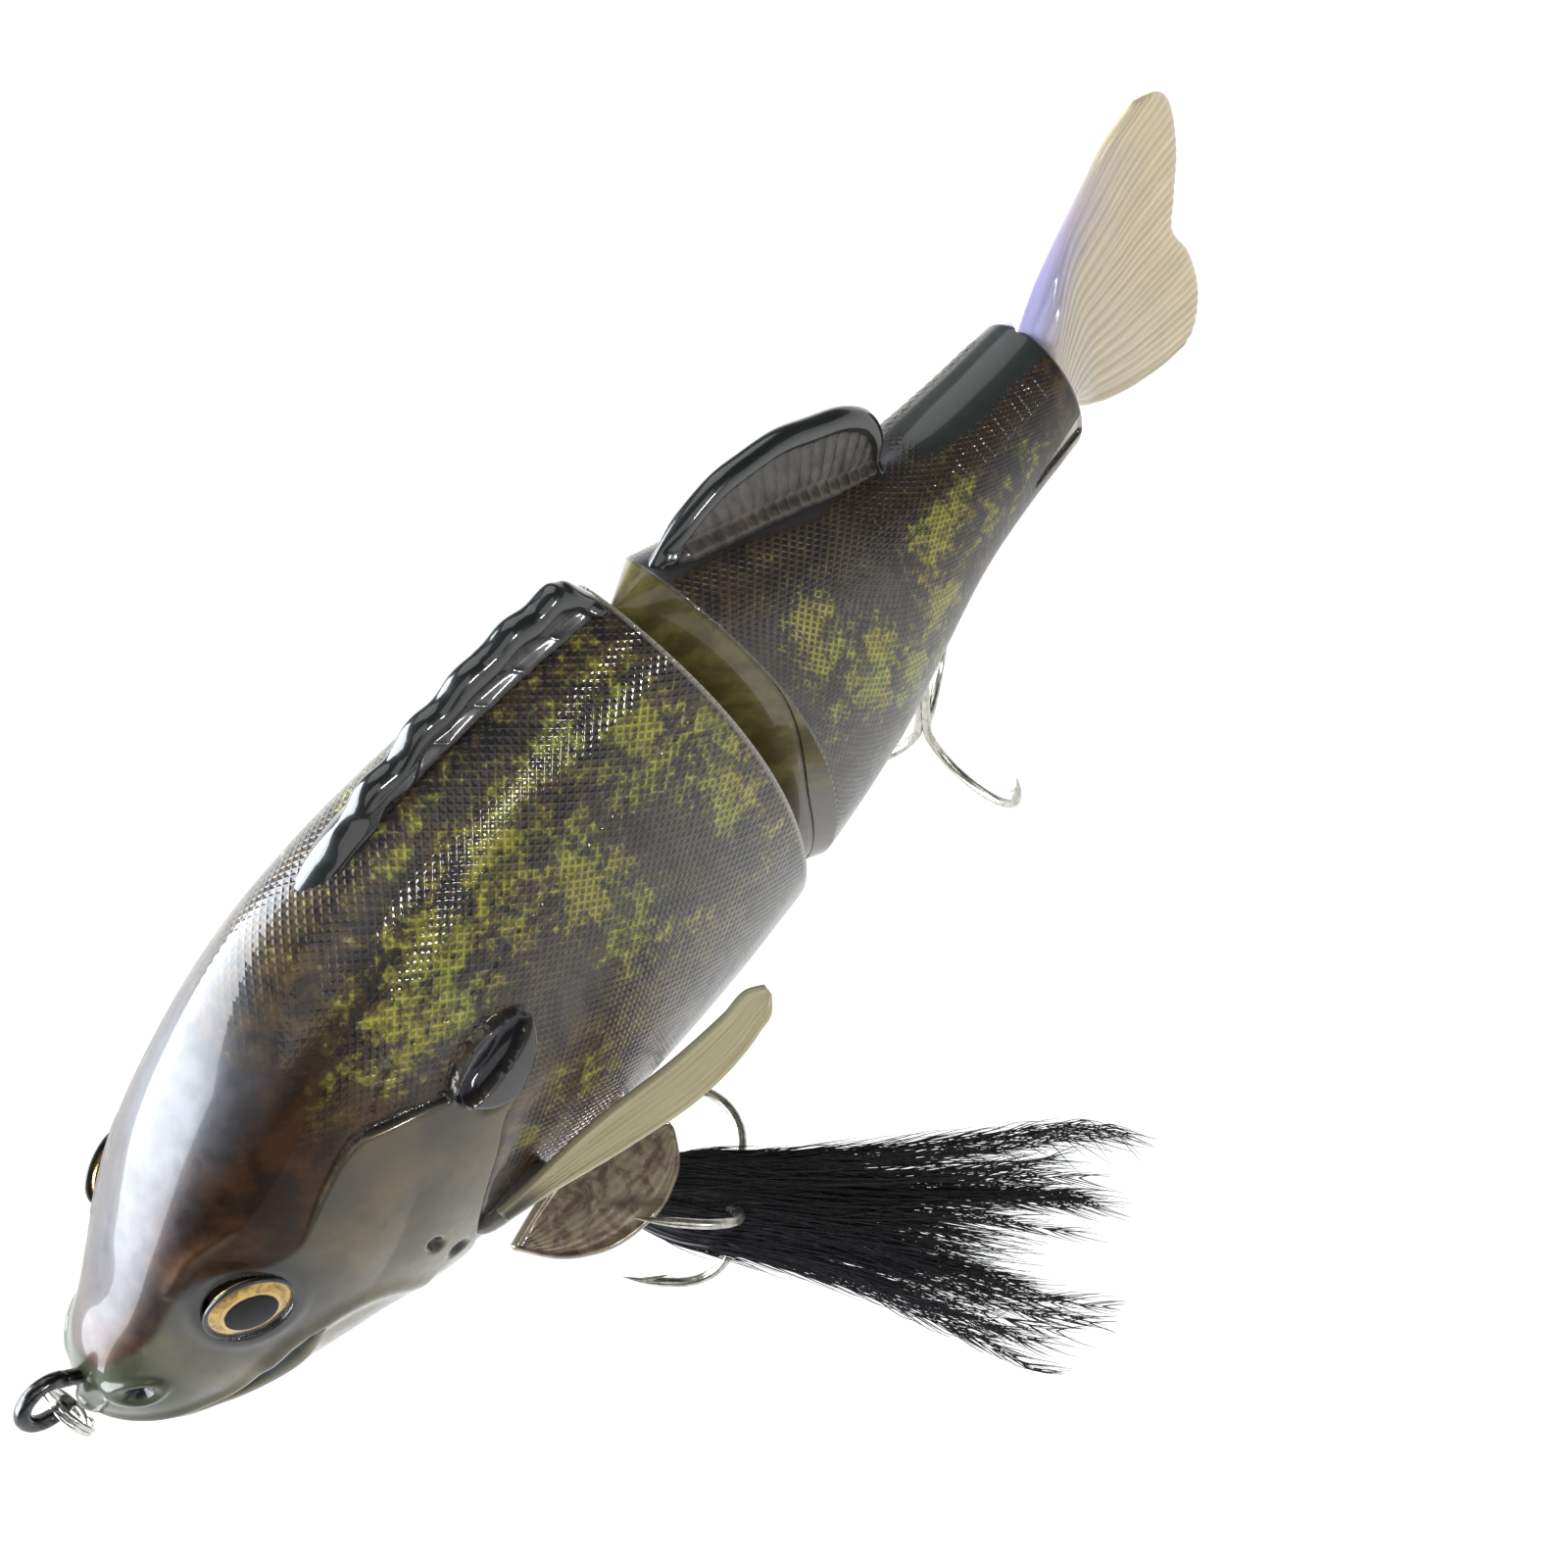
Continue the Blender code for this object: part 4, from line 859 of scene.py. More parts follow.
def rear_skin(look):
    """Rear section's halves, from the nose of the wedge out to its rim, then back to the closed end."""
    angles, reach = section_angles(half=10.4, tall=22.0, count=250)
    xs = np.linspace(REAR_START, REAR_END, 224)
    turn = np.linspace(0.1, np.pi / 2, 12)
    shrink = np.concatenate((np.ones(len(xs)), np.cos(turn) ** 0.5))
    shrink[-1] = 0.02
    xs = np.concatenate((xs, REAR_END + 1.3 * np.sin(turn)))
    bows = REAR_BULGE * np.clip((106.0 - xs) / (106.0 - REAR_START), 0, 1) ** 2
    grid = section_grid(REAR_PROFILE, np.minimum(xs, REAR_END), angles, bows, shrink)
    grid[..., 0] += np.maximum(xs - REAR_END, 0)[:, None]
    kept = smooth(xs, REAR_START, REAR_START + 0.5) * fade(xs, REAR_END, REAR_END + 0.3)
    grid, fields = painted_side(grid, xs, reach, rear_features, kept)
    cap = 0.8 * smooth(xs, REAR_END, REAR_END + 0.5)[:, None]
    fields["gloss"] = np.maximum(fields["gloss"], cap)
    # a fainter painted highlight along the rear rim
    fields["worn"] = np.maximum(fields["worn"], 0.25 * fade(xs, REAR_START, REAR_START + 0.3)[:, None])
    steps = np.concatenate(((1.0, 0.985, 0.95), np.linspace(0.9, 0.30, 11),
                            np.linspace(0.285, 0.01, 34)))
    rim = grid[0]
    wedge = face_rows(rim, WEDGE_X, steps, 1.1)
    edge = 0.03 + 0.17 * smooth(14.0 - rim[:, 2], 0.0, 26.0)
    shoulder = smooth(np.abs(steps[:, None] - edge[None, :]), 0.0, 0.022)
    wedge[..., 0] += 0.25 * (1 - shoulder)
    extra = face_fields(fields, 0, len(steps), face=1.0, face_low=smooth(-4.0 - wedge[..., 2], 0.0, 9.0),
                        line=0.55 * (1 - shoulder))
    fields = {key: np.concatenate((extra[key], fields[key])) for key in fields}
    skins("rear", np.concatenate((wedge, grid)), fields, look)


# ---------------------------------------------------------------- moulded dorsal fins
def ridge(name, base, crest, look, body, halves, rays, tones, flare=1.2, columns=300, rows=56):
    """A standing fin from its base line up to its crest, with a thick rim and a rayed web between."""
    rim_half, web_half = halves
    ray_count, ray_lean, ray_power, ray_relief = rays
    low = spline(base, columns)
    high = spline(crest, columns)
    t = np.linspace(0, 1, rows)
    line = low[:, None, :] * (1 - t[None, :, None]) + high[:, None, :] * t[None, :, None]
    tall = np.linalg.norm(high - low, axis=1)[:, None]
    from_crest = (1 - t[None, :]) * tall
    from_base = t[None, :] * tall
    s = np.linspace(0, 1, columns)[:, None]
    from_end = np.minimum(s, 1 - s) * columns
    ray = 1 - np.abs(np.sin(np.pi * (s * ray_count + ray_lean * t[None, :]))) ** ray_power
    rim = fade(from_crest, rim_half * 1.5, rim_half * 2.1)
    ends = fade(smooth(from_end / 6.0, 0.0, 1.0), 0.7, 1.0)
    half = web_half + (rim_half - web_half) * np.maximum(rim, ends)
    half = half + ray_relief * ray * (1 - rim) + flare * fade(from_base, 0.9, 2.4) * 0.6
    half = half * (0.4 + 0.6 * smooth(s, 0.0, 0.14))
    half = half * rounded(from_crest / rim_half) * rounded(from_end * 0.3 / rim_half)
    middle = np.stack((line[..., 0], np.zeros(line.shape[:2]), line[..., 1]), -1)
    fields = both_faces(half.shape, rim=rim, ray=ray * (1 - rim),
                        line=0.8 * bell((from_crest - rim_half * 2.1) / 0.28),
                        tone_low=np.reshape(tones[0], (1, 1, 3)),
                        tone_high=np.reshape(tones[1], (1, 1, 3)))
    shape = plate(middle, half, np.array((0.0, 1.0, 0.0)))
    add_piece(name, shape, look, body, (), 60, fields)


def dorsal_fins():
    look = ridge_look()
    waves = np.linspace(44.0, 84.6, 60)
    height = np.interp(waves, (44, 46, 50, 56, 60.5, 65.5, 70.6, 73.1, 76.8, 81.7, 83.2, 84.6),
                       (29.6, 30.4, 31.7, 34.0, 34.6, 35.7, 35.9, 36.3, 35.9, 35.6, 34.2, 30.6))
    spines = 0.32 * np.sin((waves - 50.0) * 2 * np.pi / 6.2)
    height = height + spines * smooth(waves, 50, 56) * fade(waves, 78, 82)
    base = [(x, float(curve(FRONT_PROFILE, 1, x)) - 1.0) for x in np.linspace(45.0, 84.6, 20)]
    ridge("spiny_dorsal", base, list(zip(waves, height)), look, "front_section", (1.35, 0.72),
          (9.0, 1.5, 0.35, 0.16), ((0.026, 0.026, 0.027), (0.070, 0.070, 0.070)))
    base = [(x, float(curve(REAR_PROFILE, 1, x)) - 0.8) for x in np.linspace(91.0, 117.5, 16)]
    crest = ((90.7, 27.4), (93.3, 28.6), (96.6, 29.5), (100.8, 29.9), (104.5, 29.2), (108.9, 27.9),
             (112.9, 25.5), (116.4, 23.2), (118.7, 20.6), (119.5, 18.2), (119.4, 16.0), (118.2, 14.3),
             (117.4, 12.6))
    ridge("soft_dorsal", base, crest, look, "rear_section", (1.15, 0.62), (22.0, 1.2, 0.5, 0.10),
          ((0.036, 0.031, 0.027), (0.090, 0.076, 0.064)), 1.5)


# ---------------------------------------------------------------- side fins and tail
def fin(name, root, directions, outlines, thicknesses, look, replaced, rays, relief):
    """A flat side fin between its two outlines, with rays along it."""
    along, down = directions
    along = unit(along)
    down = unit(np.array(down) - along * np.dot(down, along))
    normal = np.cross(along, down)
    near = outlines[0][0][0]
    far = outlines[0][-1][0]
    u = near + (far - near) * (1 - np.cos(np.linspace(0, np.pi, 200))) / 2
    v = ((1 - np.cos(np.linspace(0, np.pi, 60))) / 2)[None, :]
    upper, lower = (curve(outline, 1, u)[:, None] for outline in outlines)
    u = u[:, None]
    across = upper * (1 - v) + lower * v
    width = np.abs(lower - upper)
    thick, thin = thicknesses
    half = 0.5 * (thick + (thin - thick) * (u - near) / (far - near)) * np.ones_like(across)
    edge = np.minimum(v, 1 - v) * width
    half = half * (0.8 + 0.25 * bell((edge - 0.5) / 0.35))
    half = half + relief * np.cos(rays * 2 * np.pi * v) * smooth(edge, 0.3, 1.0)
    half = half * rounded(edge / 0.55) * rounded(np.minimum(u - near, far - u) / 0.6)
    cup = 0.5 * np.sin(np.pi * (u - near) / (far - near)) * (v - 0.5) ** 2
    middle = np.array(root) + along * u[..., None] + down * across[..., None] + normal * cup[..., None]
    rim = np.maximum(bell(v * width / 0.55), 0.35 * bell((1 - v) * width / 0.4))
    skin = np.stack(np.broadcast_arrays(u, v * 9.0, 0 * across), -1)
    fields = both_faces(half.shape, root=fade(u, 1.5, 6.0), edge=rim, skin=skin)
    add_piece(name, plate(middle, half, normal), look, "front_section", (replaced,), 55, fields)


# lower and upper outline: along the fin, across it
PECTORAL = (
    ((-0.6, -0.9), (4.0, -1.2), (11.0, -1.9), (23.5, -2.1), (29.0, -2.6), (32.4, -3.1), (34.0, -2.4)),
    ((-0.6, 0.9), (4.0, 1.3), (13.4, 2.5), (22.5, 3.0), (27.5, 2.3), (30.8, 1.3), (33.2, 0.1),
     (34.0, -1.1)),
)
PELVIC = (
    ((0.0, 0.0), (5.0, -1.5), (12.0, -3.0), (17.0, -3.2), (20.6, -1.0), (21.8, 1.6)),
    ((0.0, 0.7), (2.3, 3.9), (6.6, 7.2), (12.0, 8.5), (17.1, 7.7), (20.4, 5.2), (21.8, 2.7)),
)


def side_fins():
    satin = satin_fin_look()
    gloss = gloss_fin_look()
    bulb = flat_look("root_gloss", (0.050, 0.047, 0.042), (0.11, 0.10, 0.085), 0.3, 2.5, 0.8)
    rows = [(5.0 * math.sin(a), 1.75 * math.cos(a) ** 0.8) for a in np.linspace(-1.55, 1.55, 30)]
    for word, side in SIDES:
        root = (39.0, 14.6 * side, -10.6)
        fin(f"pectoral_{word}", root, ((0.97, 0.22 * side, 0.05), (0, 0.7 * side, -0.7)), PECTORAL,
            (1.6, 1.0), satin, f"pectoral_fin_{word}", rays=9.0, relief=0.05)
        bulb_shape = turned((40.4, 13.5 * side, -11.4), unit((0.95, 0.16 * side, 0.14)), rows, 40)
        add_piece(f"pectoral_root_{word}", bulb_shape, bulb, "front_section", (), 60)
        root = (36.5, 9.8 * side, -25.4)
        fin(f"pelvic_{word}", root, ((0.98, 0.0, -0.20), (0, 0.78 * side, -0.62)), PELVIC,
            (1.5, 1.1), gloss, f"pelvic_fin_{word}", rays=11.0, relief=0.01)


def tail_piece():
    """The paddle, filled in between its root, its tip and its two side outlines."""
    low = ((-0.6, -5.0), (6.0, -5.4), (9.6, -9.0), (15.0, -12.6), (21.6, -15.2), (26.3, -16.0))
    low = spline(low, 170)
    high = spline(((-0.6, 5.4), (1.6, 9.4), (4.6, 13.2), (8.4, 16.4), (13.8, 20.2), (18.2, 23.0),
                   (23.6, 24.7)), 170)
    start = spline(((-0.6, -5.0), (-0.6, 0.0), (-0.6, 5.4)), 220)
    end = spline(((26.3, -16.0), (28.9, -14.6), (30.2, -9.3), (29.3, -2.9), (27.2, 2.6), (28.0, 7.3),
                  (29.2, 13.4), (29.0, 19.7), (27.2, 23.0), (23.6, 24.7)), 220)
    u = np.linspace(0, 1, 170)[:, None, None]
    v = np.linspace(0, 1, 220)[None, :, None]
    flat = (1 - v) * low[:, None] + v * high[:, None] + (1 - u) * start[None] + u * end[None]
    flat -= ((1 - u) * (1 - v) * low[0] + u * (1 - v) * low[-1]
             + (1 - u) * v * high[0] + u * v * high[-1])
    u = u[..., 0]
    v = v[..., 0]
    coarse = np.sin(np.pi * 17 * v) ** 2
    fine = np.sin(np.pi * 34 * v) ** 2
    groove = (1 - coarse) * fade(u, 0.5, 0.8) + (1 - fine) * smooth(u, 0.5, 0.8)
    groove = groove ** 2 * smooth(u, 0.05, 0.35)
    edge = np.minimum(v, 1 - v) * np.linalg.norm(high - low, axis=1)[:, None]
    lead = bell((edge - 0.8) / 0.9)
    half = 0.85 - 0.45 * u + 0.28 * lead * (1 - 0.6 * u) - 0.16 * groove + 0.02 * np.sin(u * 40 + 9 * v)
    root = fade(flat[..., 0], 2.0, 13.0) * smooth(flat[..., 0], 0.0, 2.0)
    half = half + 3.3 * root * smooth(edge, -0.5, 3.5)
    half = half * rounded(edge / (0.8 + 2.6 * root)) * rounded((1 - u) * 28 / 0.8)
    half[0] = 0.0
    wave = 0.25 * np.sin(3.2 * v + 1.0) * u**2
    middle = np.stack((TAIL_X + flat[..., 0], wave, flat[..., 1]), -1)
    # a painted violet pearl highlight along the upper edge
    violet = bell((1 - v) * 6) * smooth(u, 0.02, 0.15) * fade(u, 0.35, 0.9) * 0.6
    skin = np.stack(np.broadcast_arrays(u * 30, v * 40, 0 * half), -1)
    # root: painted shade, the tail darker where it goes into the body
    fields = both_faces(half.shape, groove=groove, violet=violet, skin=skin,
                        root=fade(u, 0.02, 0.16) * 0.4)
    shape = plate(middle, half, np.array((0.0, 1.0, 0.0)))
    piece = add_piece("tail_paddle", shape, tail_look(), None, (), 60, fields)
    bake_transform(piece)
    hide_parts("tail_fin")


# ---------------------------------------------------------------- eyes
def dome_height(radius, out=3.95, tall=0.85):
    """How far a point of the eye stands off its disc."""
    return 0.12 + tall * math.sqrt(max(0.0, 1 - (radius / (out + 0.12)) ** 2))


def eyes():
    foil = foil_look()
    black = flat_look("pupil_black", (0.001, 0.001, 0.001), (0.003, 0.003, 0.003), 0.2, 1.5, 0.0,
                      **{"Specular IOR Level": 0.08})
    shell = glass_look()
    rim = flat_look("socket_black", (0.003, 0.003, 0.003), (0.008, 0.008, 0.008), 0.35, 0.8, 0.25)
    iris = [(-0.7, 0.0), (-0.7, 3.6), (-0.5, 3.9)]
    iris += [(dome_height(r) - 0.25, r) for r in np.linspace(3.95, 0.0, 28)]
    pupil = [(0.2, 0.0), (0.2, 2.4)] + [(dome_height(r) - 0.16, r) for r in np.linspace(2.5, 0.0, 20)]
    lens = [(dome_height(r) - 0.08, r) for r in np.linspace(0.0, 3.97, 28)]
    lens += [(dome_height(r), r) for r in np.linspace(4.02, 0.0, 28)]
    for word, side in SIDES:
        normal = unit((EYE_NORMAL[0], EYE_NORMAL[1] * side, EYE_NORMAL[2]))
        centre = np.array((EYE_CENTRE[0], EYE_CENTRE[1] * side, EYE_CENTRE[2]))
        disc = turned(centre, normal, iris)
        away = off_axis(disc[0], centre, normal)
        pale = bell((away - 2.68) / 0.15) + 0.6 * bell((away - 3.85) / 0.12)
        add_piece(f"iris_{word}", disc, foil, "front_section", (f"eye_iris_{word}",), 40,
                  {"pale": np.clip(pale, 0, 1)})
        for name, rows, look in (("pupil", pupil, black), ("lens", lens, shell)):
            add_piece(f"{name}_{word}", turned(centre, normal, rows), look, "front_section",
                      (f"eye_{name}_{word}",), 50)
        across = unit(np.cross((0, 0, 1), normal))
        up = np.cross(normal, across)
        ring = arc(centre + normal * 0.08, across, up, RIM_RADIUS, 0, 2 * math.pi, 91)
        ring = tube(ring[:-1], 0.24, sides=12, closed=True)
        add_piece(f"eye_rim_{word}", ring, rim, "front_section")


# ---------------------------------------------------------------- wire
def arc(centre, first, second, radius, start, end, count):
    turn = np.linspace(start, end, count)[:, None]
    return np.array(centre) + radius * (np.cos(turn) * first + np.sin(turn) * second)


def wire_eye(centre, toward, side, loop, wire, shank):
    """A loop bent from wire with its shank, which runs toward the body it is set in."""
    toward = unit(toward)
    side = unit(side)
    centre = np.array(centre)
    path = np.vstack(([centre + toward * shank], [centre + toward * loop * 1.9],
                      arc(centre, toward, side, loop, math.radians(36), math.radians(312), 28)))
    return tube(spline(path, 120), wire, 18)


def split_ring(centre, first, second, radius, band):
    """Two turns of flat wire lying against each other, with a small step where they cross."""
    axis = np.cross(first, second)
    turn = np.linspace(0.1, 4 * np.pi - 0.1, 220)
    shift = band * 0.47 * (smooth(turn, 2 * np.pi - 0.45, 2 * np.pi + 0.45) * 2 - 1)
    path = (np.array(centre) + radius * (np.cos(turn)[:, None] * first + np.sin(turn)[:, None] * second)
            + shift[:, None] * axis)
    radii = np.full(len(turn), band * 0.5)
    radii[:3] *= (0.55, 0.8, 0.95)
    radii[-3:] *= (0.95, 0.8, 0.55)
    return tube(path, radii, 14)


def hook_arm(hook, base, line, outward):
    """One arm of a treble: shank, bend and point, and the barb cut up from the point."""
    length, gape, point = hook
    bend = gape / 2
    shank = length - bend
    centre = base + line * (shank + 0.4) + outward * (bend + 0.5)
    stations = (HOOK_EYE_RADIUS, shank * 0.4, shank * 0.75, shank - 1.5)
    path = [base + line * station + outward * 0.5 for station in stations]
    path += list(arc(centre, -outward, line, bend, 0.25, math.pi - 0.05, 16))
    path.append(path[-1] - line * (point - bend) * 0.55 + outward * 0.2)
    path.append(path[-1] - line * (point - bend) * 0.45 - outward * 0.3)
    path = spline(path, 170)
    along = np.linspace(0, 1, len(path))
    radii = WIRE * (1 - 0.93 * np.clip((along - 0.88) / 0.12, 0, 1) ** 1.15)
    body = tube(path, radii, 16)
    at = int(len(path) * 0.885)
    root = path[at]
    inward = -outward
    heading = unit(path[at + 6] - path[at])
    barb = np.array([root + heading * 1.9 + inward * 0.1, root + heading * 1.0 + inward * 0.42,
                     root + heading * 0.1 + inward * 0.78, root - heading * 0.75 + inward * 1.15])
    return body, tube(spline(barb, 20), np.linspace(0.36, 0.05, 20), 10)


def hang(hanger, line):
    """The way a ring leans from its hanger, its centre, and the centre of the eye of its hook."""
    lean = unit((0.0, line[1], line[2]))
    clear = WIRE + GAP + RING_BAND
    pivot = np.array((hanger[0], 0.0, hanger[1] - HANGER_RADIUS))
    far = pivot + lean * (2 * RING_RADIUS - clear)
    return lean, pivot + lean * (RING_RADIUS - clear), far + line * (HOOK_EYE_RADIUS - clear)


def hook_directions(line, roll):
    """The three ways out from the shank, evenly round it."""
    side = np.array((0.0, -1.0, 0.0)) - line * -line[1]
    side /= np.linalg.norm(side)
    other = np.cross(line, side)
    turns = [roll + k * 2 * math.pi / 3 for k in range(3)]
    return [math.cos(a) * side + math.sin(a) * other for a in turns]


def treble(name, hook, hanger, line, roll, looks):
    """A split ring and the treble hook in it."""
    line = unit(line)
    lean, ring_centre, base = hang(hanger, line)
    sideways = np.cross((1.0, 0.0, 0.0), lean)
    ring = split_ring(ring_centre, lean, sideways, RING_RADIUS, RING_BAND)
    add_piece(f"{name}_ring_wound", ring, looks["ring"], f"{name}_ring",
              (f"{name}_split_ring",), 50)
    parts = []
    for outward in hook_directions(line, roll):
        parts += hook_arm(hook, base, line, outward)
    loop = arc(base, line, np.cross(line, sideways), HOOK_EYE_RADIUS, 0, 2 * math.pi, 61)
    parts.append(tube(loop[:-1], WIRE, 16, True))
    add_piece(f"{name}_treble", joined(parts), looks["hook"], f"{name}_hook",
              (f"{name}_treble_hook",), 50)
    return base, line


def wire_pieces():
    looks = {"ring": metal_look("ring_nickel", (0.55, 0.54, 0.51), (0.86, 0.85, 0.82), 0.16),
             "hook": metal_look("hook_nickel", (0.33, 0.32, 0.28), (0.58, 0.56, 0.50), 0.26)}
    dark = metal_look("smoked_wire", (0.035, 0.035, 0.037), (0.10, 0.10, 0.10), 0.22)
    across = (-TIE_SHANK[2], 0.0, TIE_SHANK[0])
    loop = wire_eye(TIE_CENTRE, TIE_SHANK, across, TIE_RADIUS, TIE_WIRE, 12.0)
    add_piece("tie_loop", loop, dark, "front_section", ("line_tie_eye",), 50)
    fall = np.array((0.0, 0.0, -1.0))
    centre = TIE_CENTRE + fall * (TIE_RADIUS + TIE_RING_RADIUS - TIE_WIRE - GAP - 0.6)
    ring = split_ring(centre, fall, np.array((0.0, 1.0, 0.0)), TIE_RING_RADIUS, TIE_RING_BAND)
    add_piece("tie_ring_wound", ring, looks["ring"], "line_tie_ring",
              ("line_tie_split_ring",), 50)
    for name, (x, z) in (("front", FRONT_HANGER), ("rear", REAR_HANGER)):
        loop = wire_eye((x, 0, z), (0, 0, 1), (1, 0, 0), HANGER_RADIUS, WIRE, 8.5)
        add_piece(f"{name}_hanger_loop", loop, looks["ring"], f"{name}_section",
                  (f"{name}_hook_hanger",), 50)
    base, line = treble("front", FRONT_HOOK, FRONT_HANGER, FRONT_LINE, math.radians(FRONT_ROLL), looks)
    treble("rear", REAR_HOOK, REAR_HANGER, REAR_LINE, 0.0, looks)
    feather(base, line)
    steel = metal_look("inner_steel", (0.36, 0.36, 0.35), (0.62, 0.61, 0.59), 0.3)
    lead = flat_look("ballast_lead", (0.10, 0.10, 0.105), (0.19, 0.19, 0.20), 0.6, 1.5, 0.0, 0.06)
    for node, look in (("hinge_eye_upper", steel), ("hinge_eye_lower", steel), ("hinge_pin", steel),
                       ("front_ballast_weight", lead), ("rear_ballast_weight", lead)):
        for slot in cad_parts[node].material_slots:
            slot.material = look


# ---------------------------------------------------------------- feather
def feather_point(base, line, along, radial, angle):
    """A point of the bundle: how far along, how far out of its section and at what angle."""
    fall = np.array((0.0, 0.0, -1.0))
    flat = unit(np.array(FEATHER_FLAT) - line * np.dot(FEATHER_FLAT, line))
    droop = 0.0022 * np.clip(along - 12.0, 0, None) ** 2
    tangent = line + fall * 0.0044 * np.clip(along - 12.0, 0, None)[..., None]
    tangent /= np.linalg.norm(tangent, axis=-1, keepdims=True)
    up = np.cross(flat, tangent)
    tall = curve(FEATHER_ROWS, 1, along) * radial
    wide = curve(FEATHER_ROWS, 2, along) * radial
    return (base + line * along[..., None] + fall * droop[..., None]
            + up * (tall * np.cos(angle))[..., None] + flat * (wide * np.sin(angle))[..., None])


def hairs(paths, thick):
    """(points, faces) of many thin three-sided hairs, each one row of paths."""
    count, steps = paths.shape[:2]
    tangents = np.gradient(paths, axis=1)
    tangents /= np.linalg.norm(tangents, axis=-1, keepdims=True)
    across = np.cross(tangents, np.array((0.3, 0.2, 0.93)))
    across /= np.linalg.norm(across, axis=-1, keepdims=True)
    up = np.cross(tangents, across)
    corners = [paths + thick[..., None] * (math.cos(a) * across + math.sin(a) * up)
               for a in (0.0, 2 * math.pi / 3, 4 * math.pi / 3)]
    points = np.stack(corners, 2).reshape(-1, 3)
    one = grid_faces(steps, 3, True)
    return points, (one[None] + (np.arange(count) * steps * 3)[:, None, None]).reshape(-1, 4)


def fan(place, clump, t):
    """Where across the bundle a quill runs, from -1 to 1."""
    return (place + clump * t) * (0.72 + 0.28 * t) + 0.03 * np.sin(7 * t + 5 * place)


def bundle_path(base, line, along, high, deep, limit):
    """Points of the bundle from two coordinates across it."""
    radial = np.clip(np.hypot(high, deep), 0, limit)
    return feather_point(base, line, along, radial, np.arctan2(deep, high))


def quills_and_barbs(base, line, draw):
    """Quills that fan out, each with barbs that leave it at a low angle and curve back along it."""
    t = np.linspace(0, 1, 18)[None, :]
    place = np.linspace(-0.96, 0.96, QUILLS) + draw.normal(0.0, 0.05, QUILLS)
    clump = 0.10 * np.sin(place * 9.0)
    reach = 56.0 + 9.0 * draw.random(QUILLS) - 5.0 * np.abs(np.sin(place * 4.2 + 0.8)) ** 2
    reach = reach - 13.0 * bell((place - 0.12) / 0.20)
    layer = draw.uniform(-0.8, 0.8, QUILLS)
    along = FEATHER_ROOT + (reach[:, None] - FEATHER_ROOT) * t
    high = fan(place[:, None], clump[:, None], t)
    quills = bundle_path(base, line, along, high, layer[:, None] * (0.9 - 0.3 * t), 0.99)
    s = np.linspace(0, 1, 7)[None, :]
    side = np.tile((1.0, -1.0), BARBS)
    barbs = []
    for k in range(QUILLS):
        start = 0.10 + 0.88 * np.linspace(0, 1, BARBS) ** 0.9
        start = np.repeat(np.clip(start + draw.normal(0, 0.012, BARBS), 0.02, 0.995), 2)
        length = (9.5 - 4.0 * start) * draw.uniform(0.6, 1.15, 2 * BARBS)
        from_root = FEATHER_ROOT + (reach[k] - FEATHER_ROOT) * start
        along = np.clip(from_root[:, None] + length[:, None] * s * 0.93, 0, 65.8)
        t_barb = np.clip((along - FEATHER_ROOT) / (reach[k] - FEATHER_ROOT), 0, 1.2)
        opening = side * draw.uniform(0.08, 0.30, 2 * BARBS)
        high = fan(place[k], clump[k], t_barb)
        high = high + opening[:, None] * (s - 0.4 * s**2) * length[:, None] / 11.0
        deep = layer[k] * (0.9 - 0.3 * t_barb) + draw.normal(0, 0.3, (2 * BARBS, 1)) * s
        barbs.append(bundle_path(base, line, along, high, deep, 1.02))
    barbs = np.concatenate(barbs)
    return [hairs(quills, 0.17 * (1 - 0.85 * t) * np.ones((QUILLS, 1))),
            hairs(barbs, 0.085 * (1 - 0.8 * s) * np.ones((len(barbs), 1)))]


def root_fibres(base, line, draw):
    """Dense soft fibres that fill the root and thin out towards the tips, round a solid core."""
    t = np.linspace(0, 1, 12)[None, :]
    reach = 22.0 + 34.0 * draw.random(FIBRES) ** 1.5
    radial = np.sqrt(draw.random(FIBRES)) * 0.86
    angle = draw.random(FIBRES) * 2 * np.pi
    sway = draw.normal(0.0, 0.25, (FIBRES, 2))
    along = FEATHER_ROOT + (reach[:, None] - FEATHER_ROOT) * t
    out = np.clip(radial[:, None] * (0.85 + 0.15 * t) + sway[:, :1] * t**2 * 0.3, 0.0, 0.95)
    turn = angle[:, None] + sway[:, 1:] * (0.5 * t + 0.8 * t**3)
    fibres = hairs(feather_point(base, line, along, out, turn),
                   0.15 * (1 - 0.8 * t**1.5) * np.ones((FIBRES, 1)))
    along = np.repeat(np.linspace(7.2, 40.0, 36)[:, None], 36, 1)
    turn = np.tile(np.linspace(0, 2 * np.pi, 36, endpoint=False), (36, 1))
    core = feather_point(base, line, along, 0.74 * fade(along, 18.0, 40.0), turn).reshape(-1, 3)
    return [fibres, (core, grid_faces(36, 36, True))]


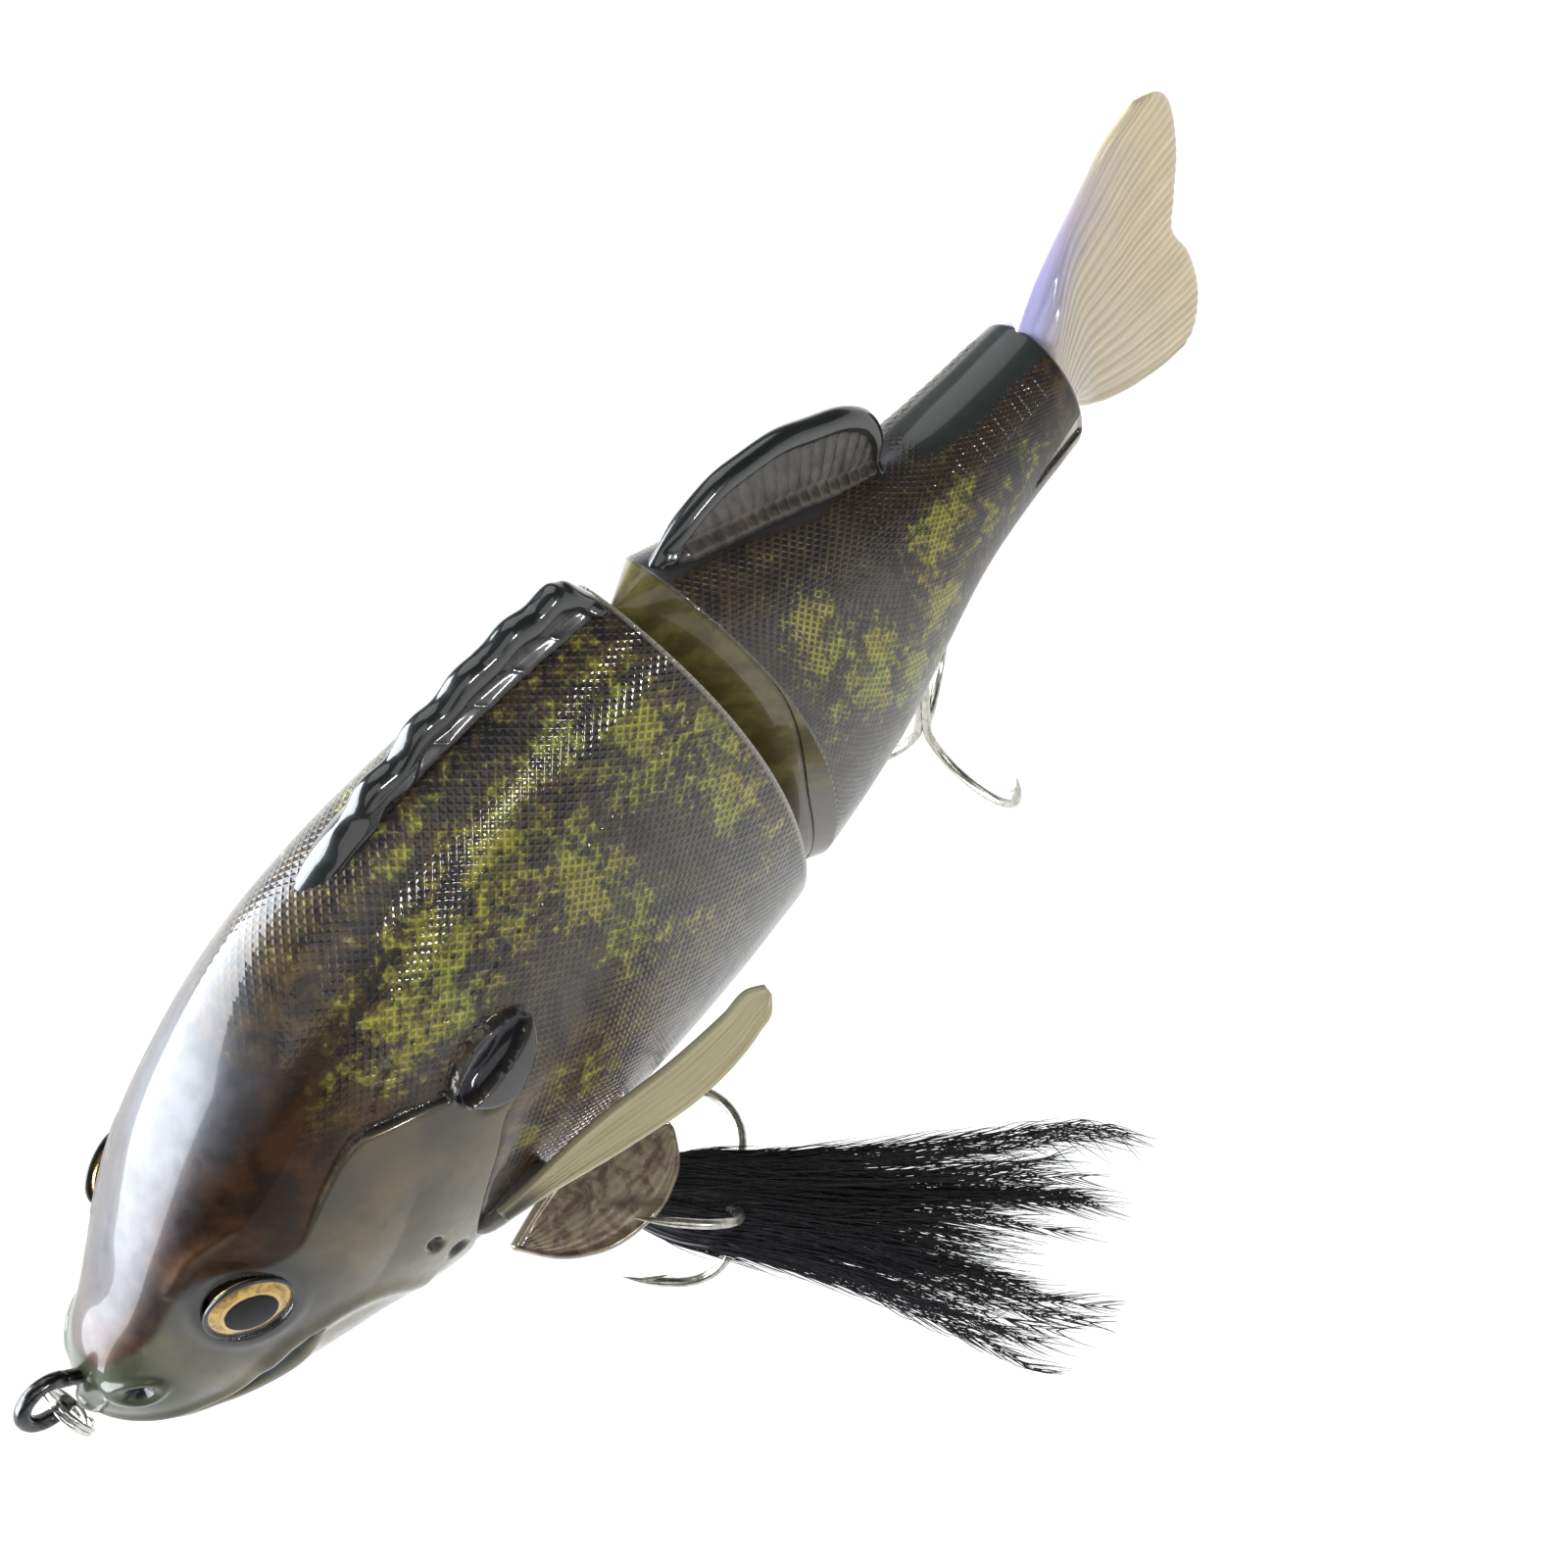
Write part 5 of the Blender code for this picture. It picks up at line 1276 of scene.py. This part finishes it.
def feather(base, line):
    """A hackle tied to the front hook, and the thread that ties it."""
    draw = np.random.default_rng(7)
    parts = quills_and_barbs(base, line, draw) + root_fibres(base, line, draw)
    add_piece("hackle", joined(parts), feather_look(), "front_hook",
              ("feather_dressing",), weld=False)
    thread = flat_look("tying_thread", (0.006, 0.006, 0.007), (0.022, 0.022, 0.025), 0.4, 0.4, 0.6)
    turns = np.linspace(0, 11 * 2 * np.pi, 440)
    first = unit(np.cross(line, (0, 0, 1)))
    second = np.cross(line, first)
    bulge = 1.95 + 0.35 * np.sin(np.pi * turns / turns[-1])
    path = (base + line * (7.1 + 4.4 * turns / turns[-1])[:, None]
            + bulge[:, None] * (np.cos(turns)[:, None] * first + np.sin(turns)[:, None] * second))
    rows = [(7.0, 0.0), (7.0, 1.8)]
    rows += [(7.0 + 4.6 * s, 1.85 + 0.35 * math.sin(math.pi * s)) for s in np.linspace(0.03, 0.97, 12)]
    rows += [(11.6, 1.8), (11.6, 0.0)]
    shape = joined((tube(path, 0.24, 8), turned(base, line, rows, 40)))
    add_piece("thread_turns", shape, thread, "front_hook", ("feather_thread_wrap",), 60)


# ---------------------------------------------------------------- stage
def softbox(name, direction, size, power, colour=(1.0, 1.0, 1.0), distance=0.6, target=(0.07, 0.0, 0.0)):
    lamp = bpy.data.lights.new(name, "AREA")
    lamp.shape = "RECTANGLE"
    lamp.size, lamp.size_y = size
    lamp.energy = power
    lamp.color = colour
    item = bpy.data.objects.new(name, lamp)
    item.location = Vector(target) + Vector(unit(direction)) * distance
    item.rotation_mode = "QUATERNION"
    item.rotation_quaternion = (-Vector(unit(direction))).to_track_quat("-Z", "Y")
    bpy.context.scene.collection.objects.link(item)


def studio():
    scene = bpy.context.scene
    lens = bpy.data.cameras.new("view")
    lens.lens = FOCAL_LENGTH
    lens.sensor_width = 36.0
    lens.clip_start = 0.01
    lens.clip_end = 20.0
    camera = bpy.data.objects.new("view", lens)
    forward = Vector(CAMERA_FORWARD).normalized()
    right = forward.cross(Vector(CAMERA_UP)).normalized()
    turn = Matrix((right, right.cross(forward), -forward)).transposed()
    camera.matrix_world = Matrix.Translation(Vector(CAMERA_PLACE)) @ turn.to_4x4()
    scene.collection.objects.link(camera)
    scene.camera = camera
    floor_mesh = bpy.data.meshes.new("floor")
    signs = ((-1, -1), (1, -1), (1, 1), (-1, 1))
    corners = [(x * FLOOR_HALF, y * FLOOR_HALF, FLOOR_HEIGHT) for x, y in signs]
    floor_mesh.from_pydata(corners, [], [(0, 1, 2, 3)])
    floor = bpy.data.objects.new("floor", floor_mesh)
    scene.collection.objects.link(floor)
    glow = {"Emission Strength": 0.80, "Emission Color": (1.0, 0.995, 0.985, 1.0)}
    paper = Look("floor_paper", 0.9, **glow)
    shade = paper.mottle(paper.noise(60.0), 0.3, 0.7, (0.15, 0.15, 0.148), (0.17, 0.17, 0.168))
    floor_mesh.materials.append(paper.set(colour=shade))
    world = bpy.data.worlds.new("studio")
    world.use_nodes = True
    background = world.node_tree.nodes["Background"]
    background.inputs["Color"].default_value = (0.93, 0.96, 1.0, 1.0)
    background.inputs["Strength"].default_value = 0.13
    scene.world = world
    softbox("head_box", (-0.70, 0.58, 0.38), (1.0, 0.55), 23.0, (0.88, 0.94, 1.0))
    softbox("top_box", (0.5, 0.5, 0.9), (0.5, 0.5), 1.3)
    softbox("key_spots", (0.21, -0.94, 0.26), (0.09, 0.04), 1.2)
    softbox("fill_box", (-0.2, -0.9, 0.9), (0.5, 0.4), 0.8, (1.0, 0.98, 0.94))
    scene.view_settings.view_transform = "Standard"


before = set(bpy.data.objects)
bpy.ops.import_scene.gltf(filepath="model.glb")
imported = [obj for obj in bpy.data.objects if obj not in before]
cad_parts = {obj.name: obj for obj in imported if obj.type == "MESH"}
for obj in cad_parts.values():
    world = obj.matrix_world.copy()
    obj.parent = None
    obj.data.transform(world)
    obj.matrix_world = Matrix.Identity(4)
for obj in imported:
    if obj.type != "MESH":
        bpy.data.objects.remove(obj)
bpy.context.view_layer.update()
painted = skin_look()
front_skin(painted)
rear_skin(painted)
dorsal_fins()
side_fins()
tail_piece()
eyes()
wire_pieces()
studio()
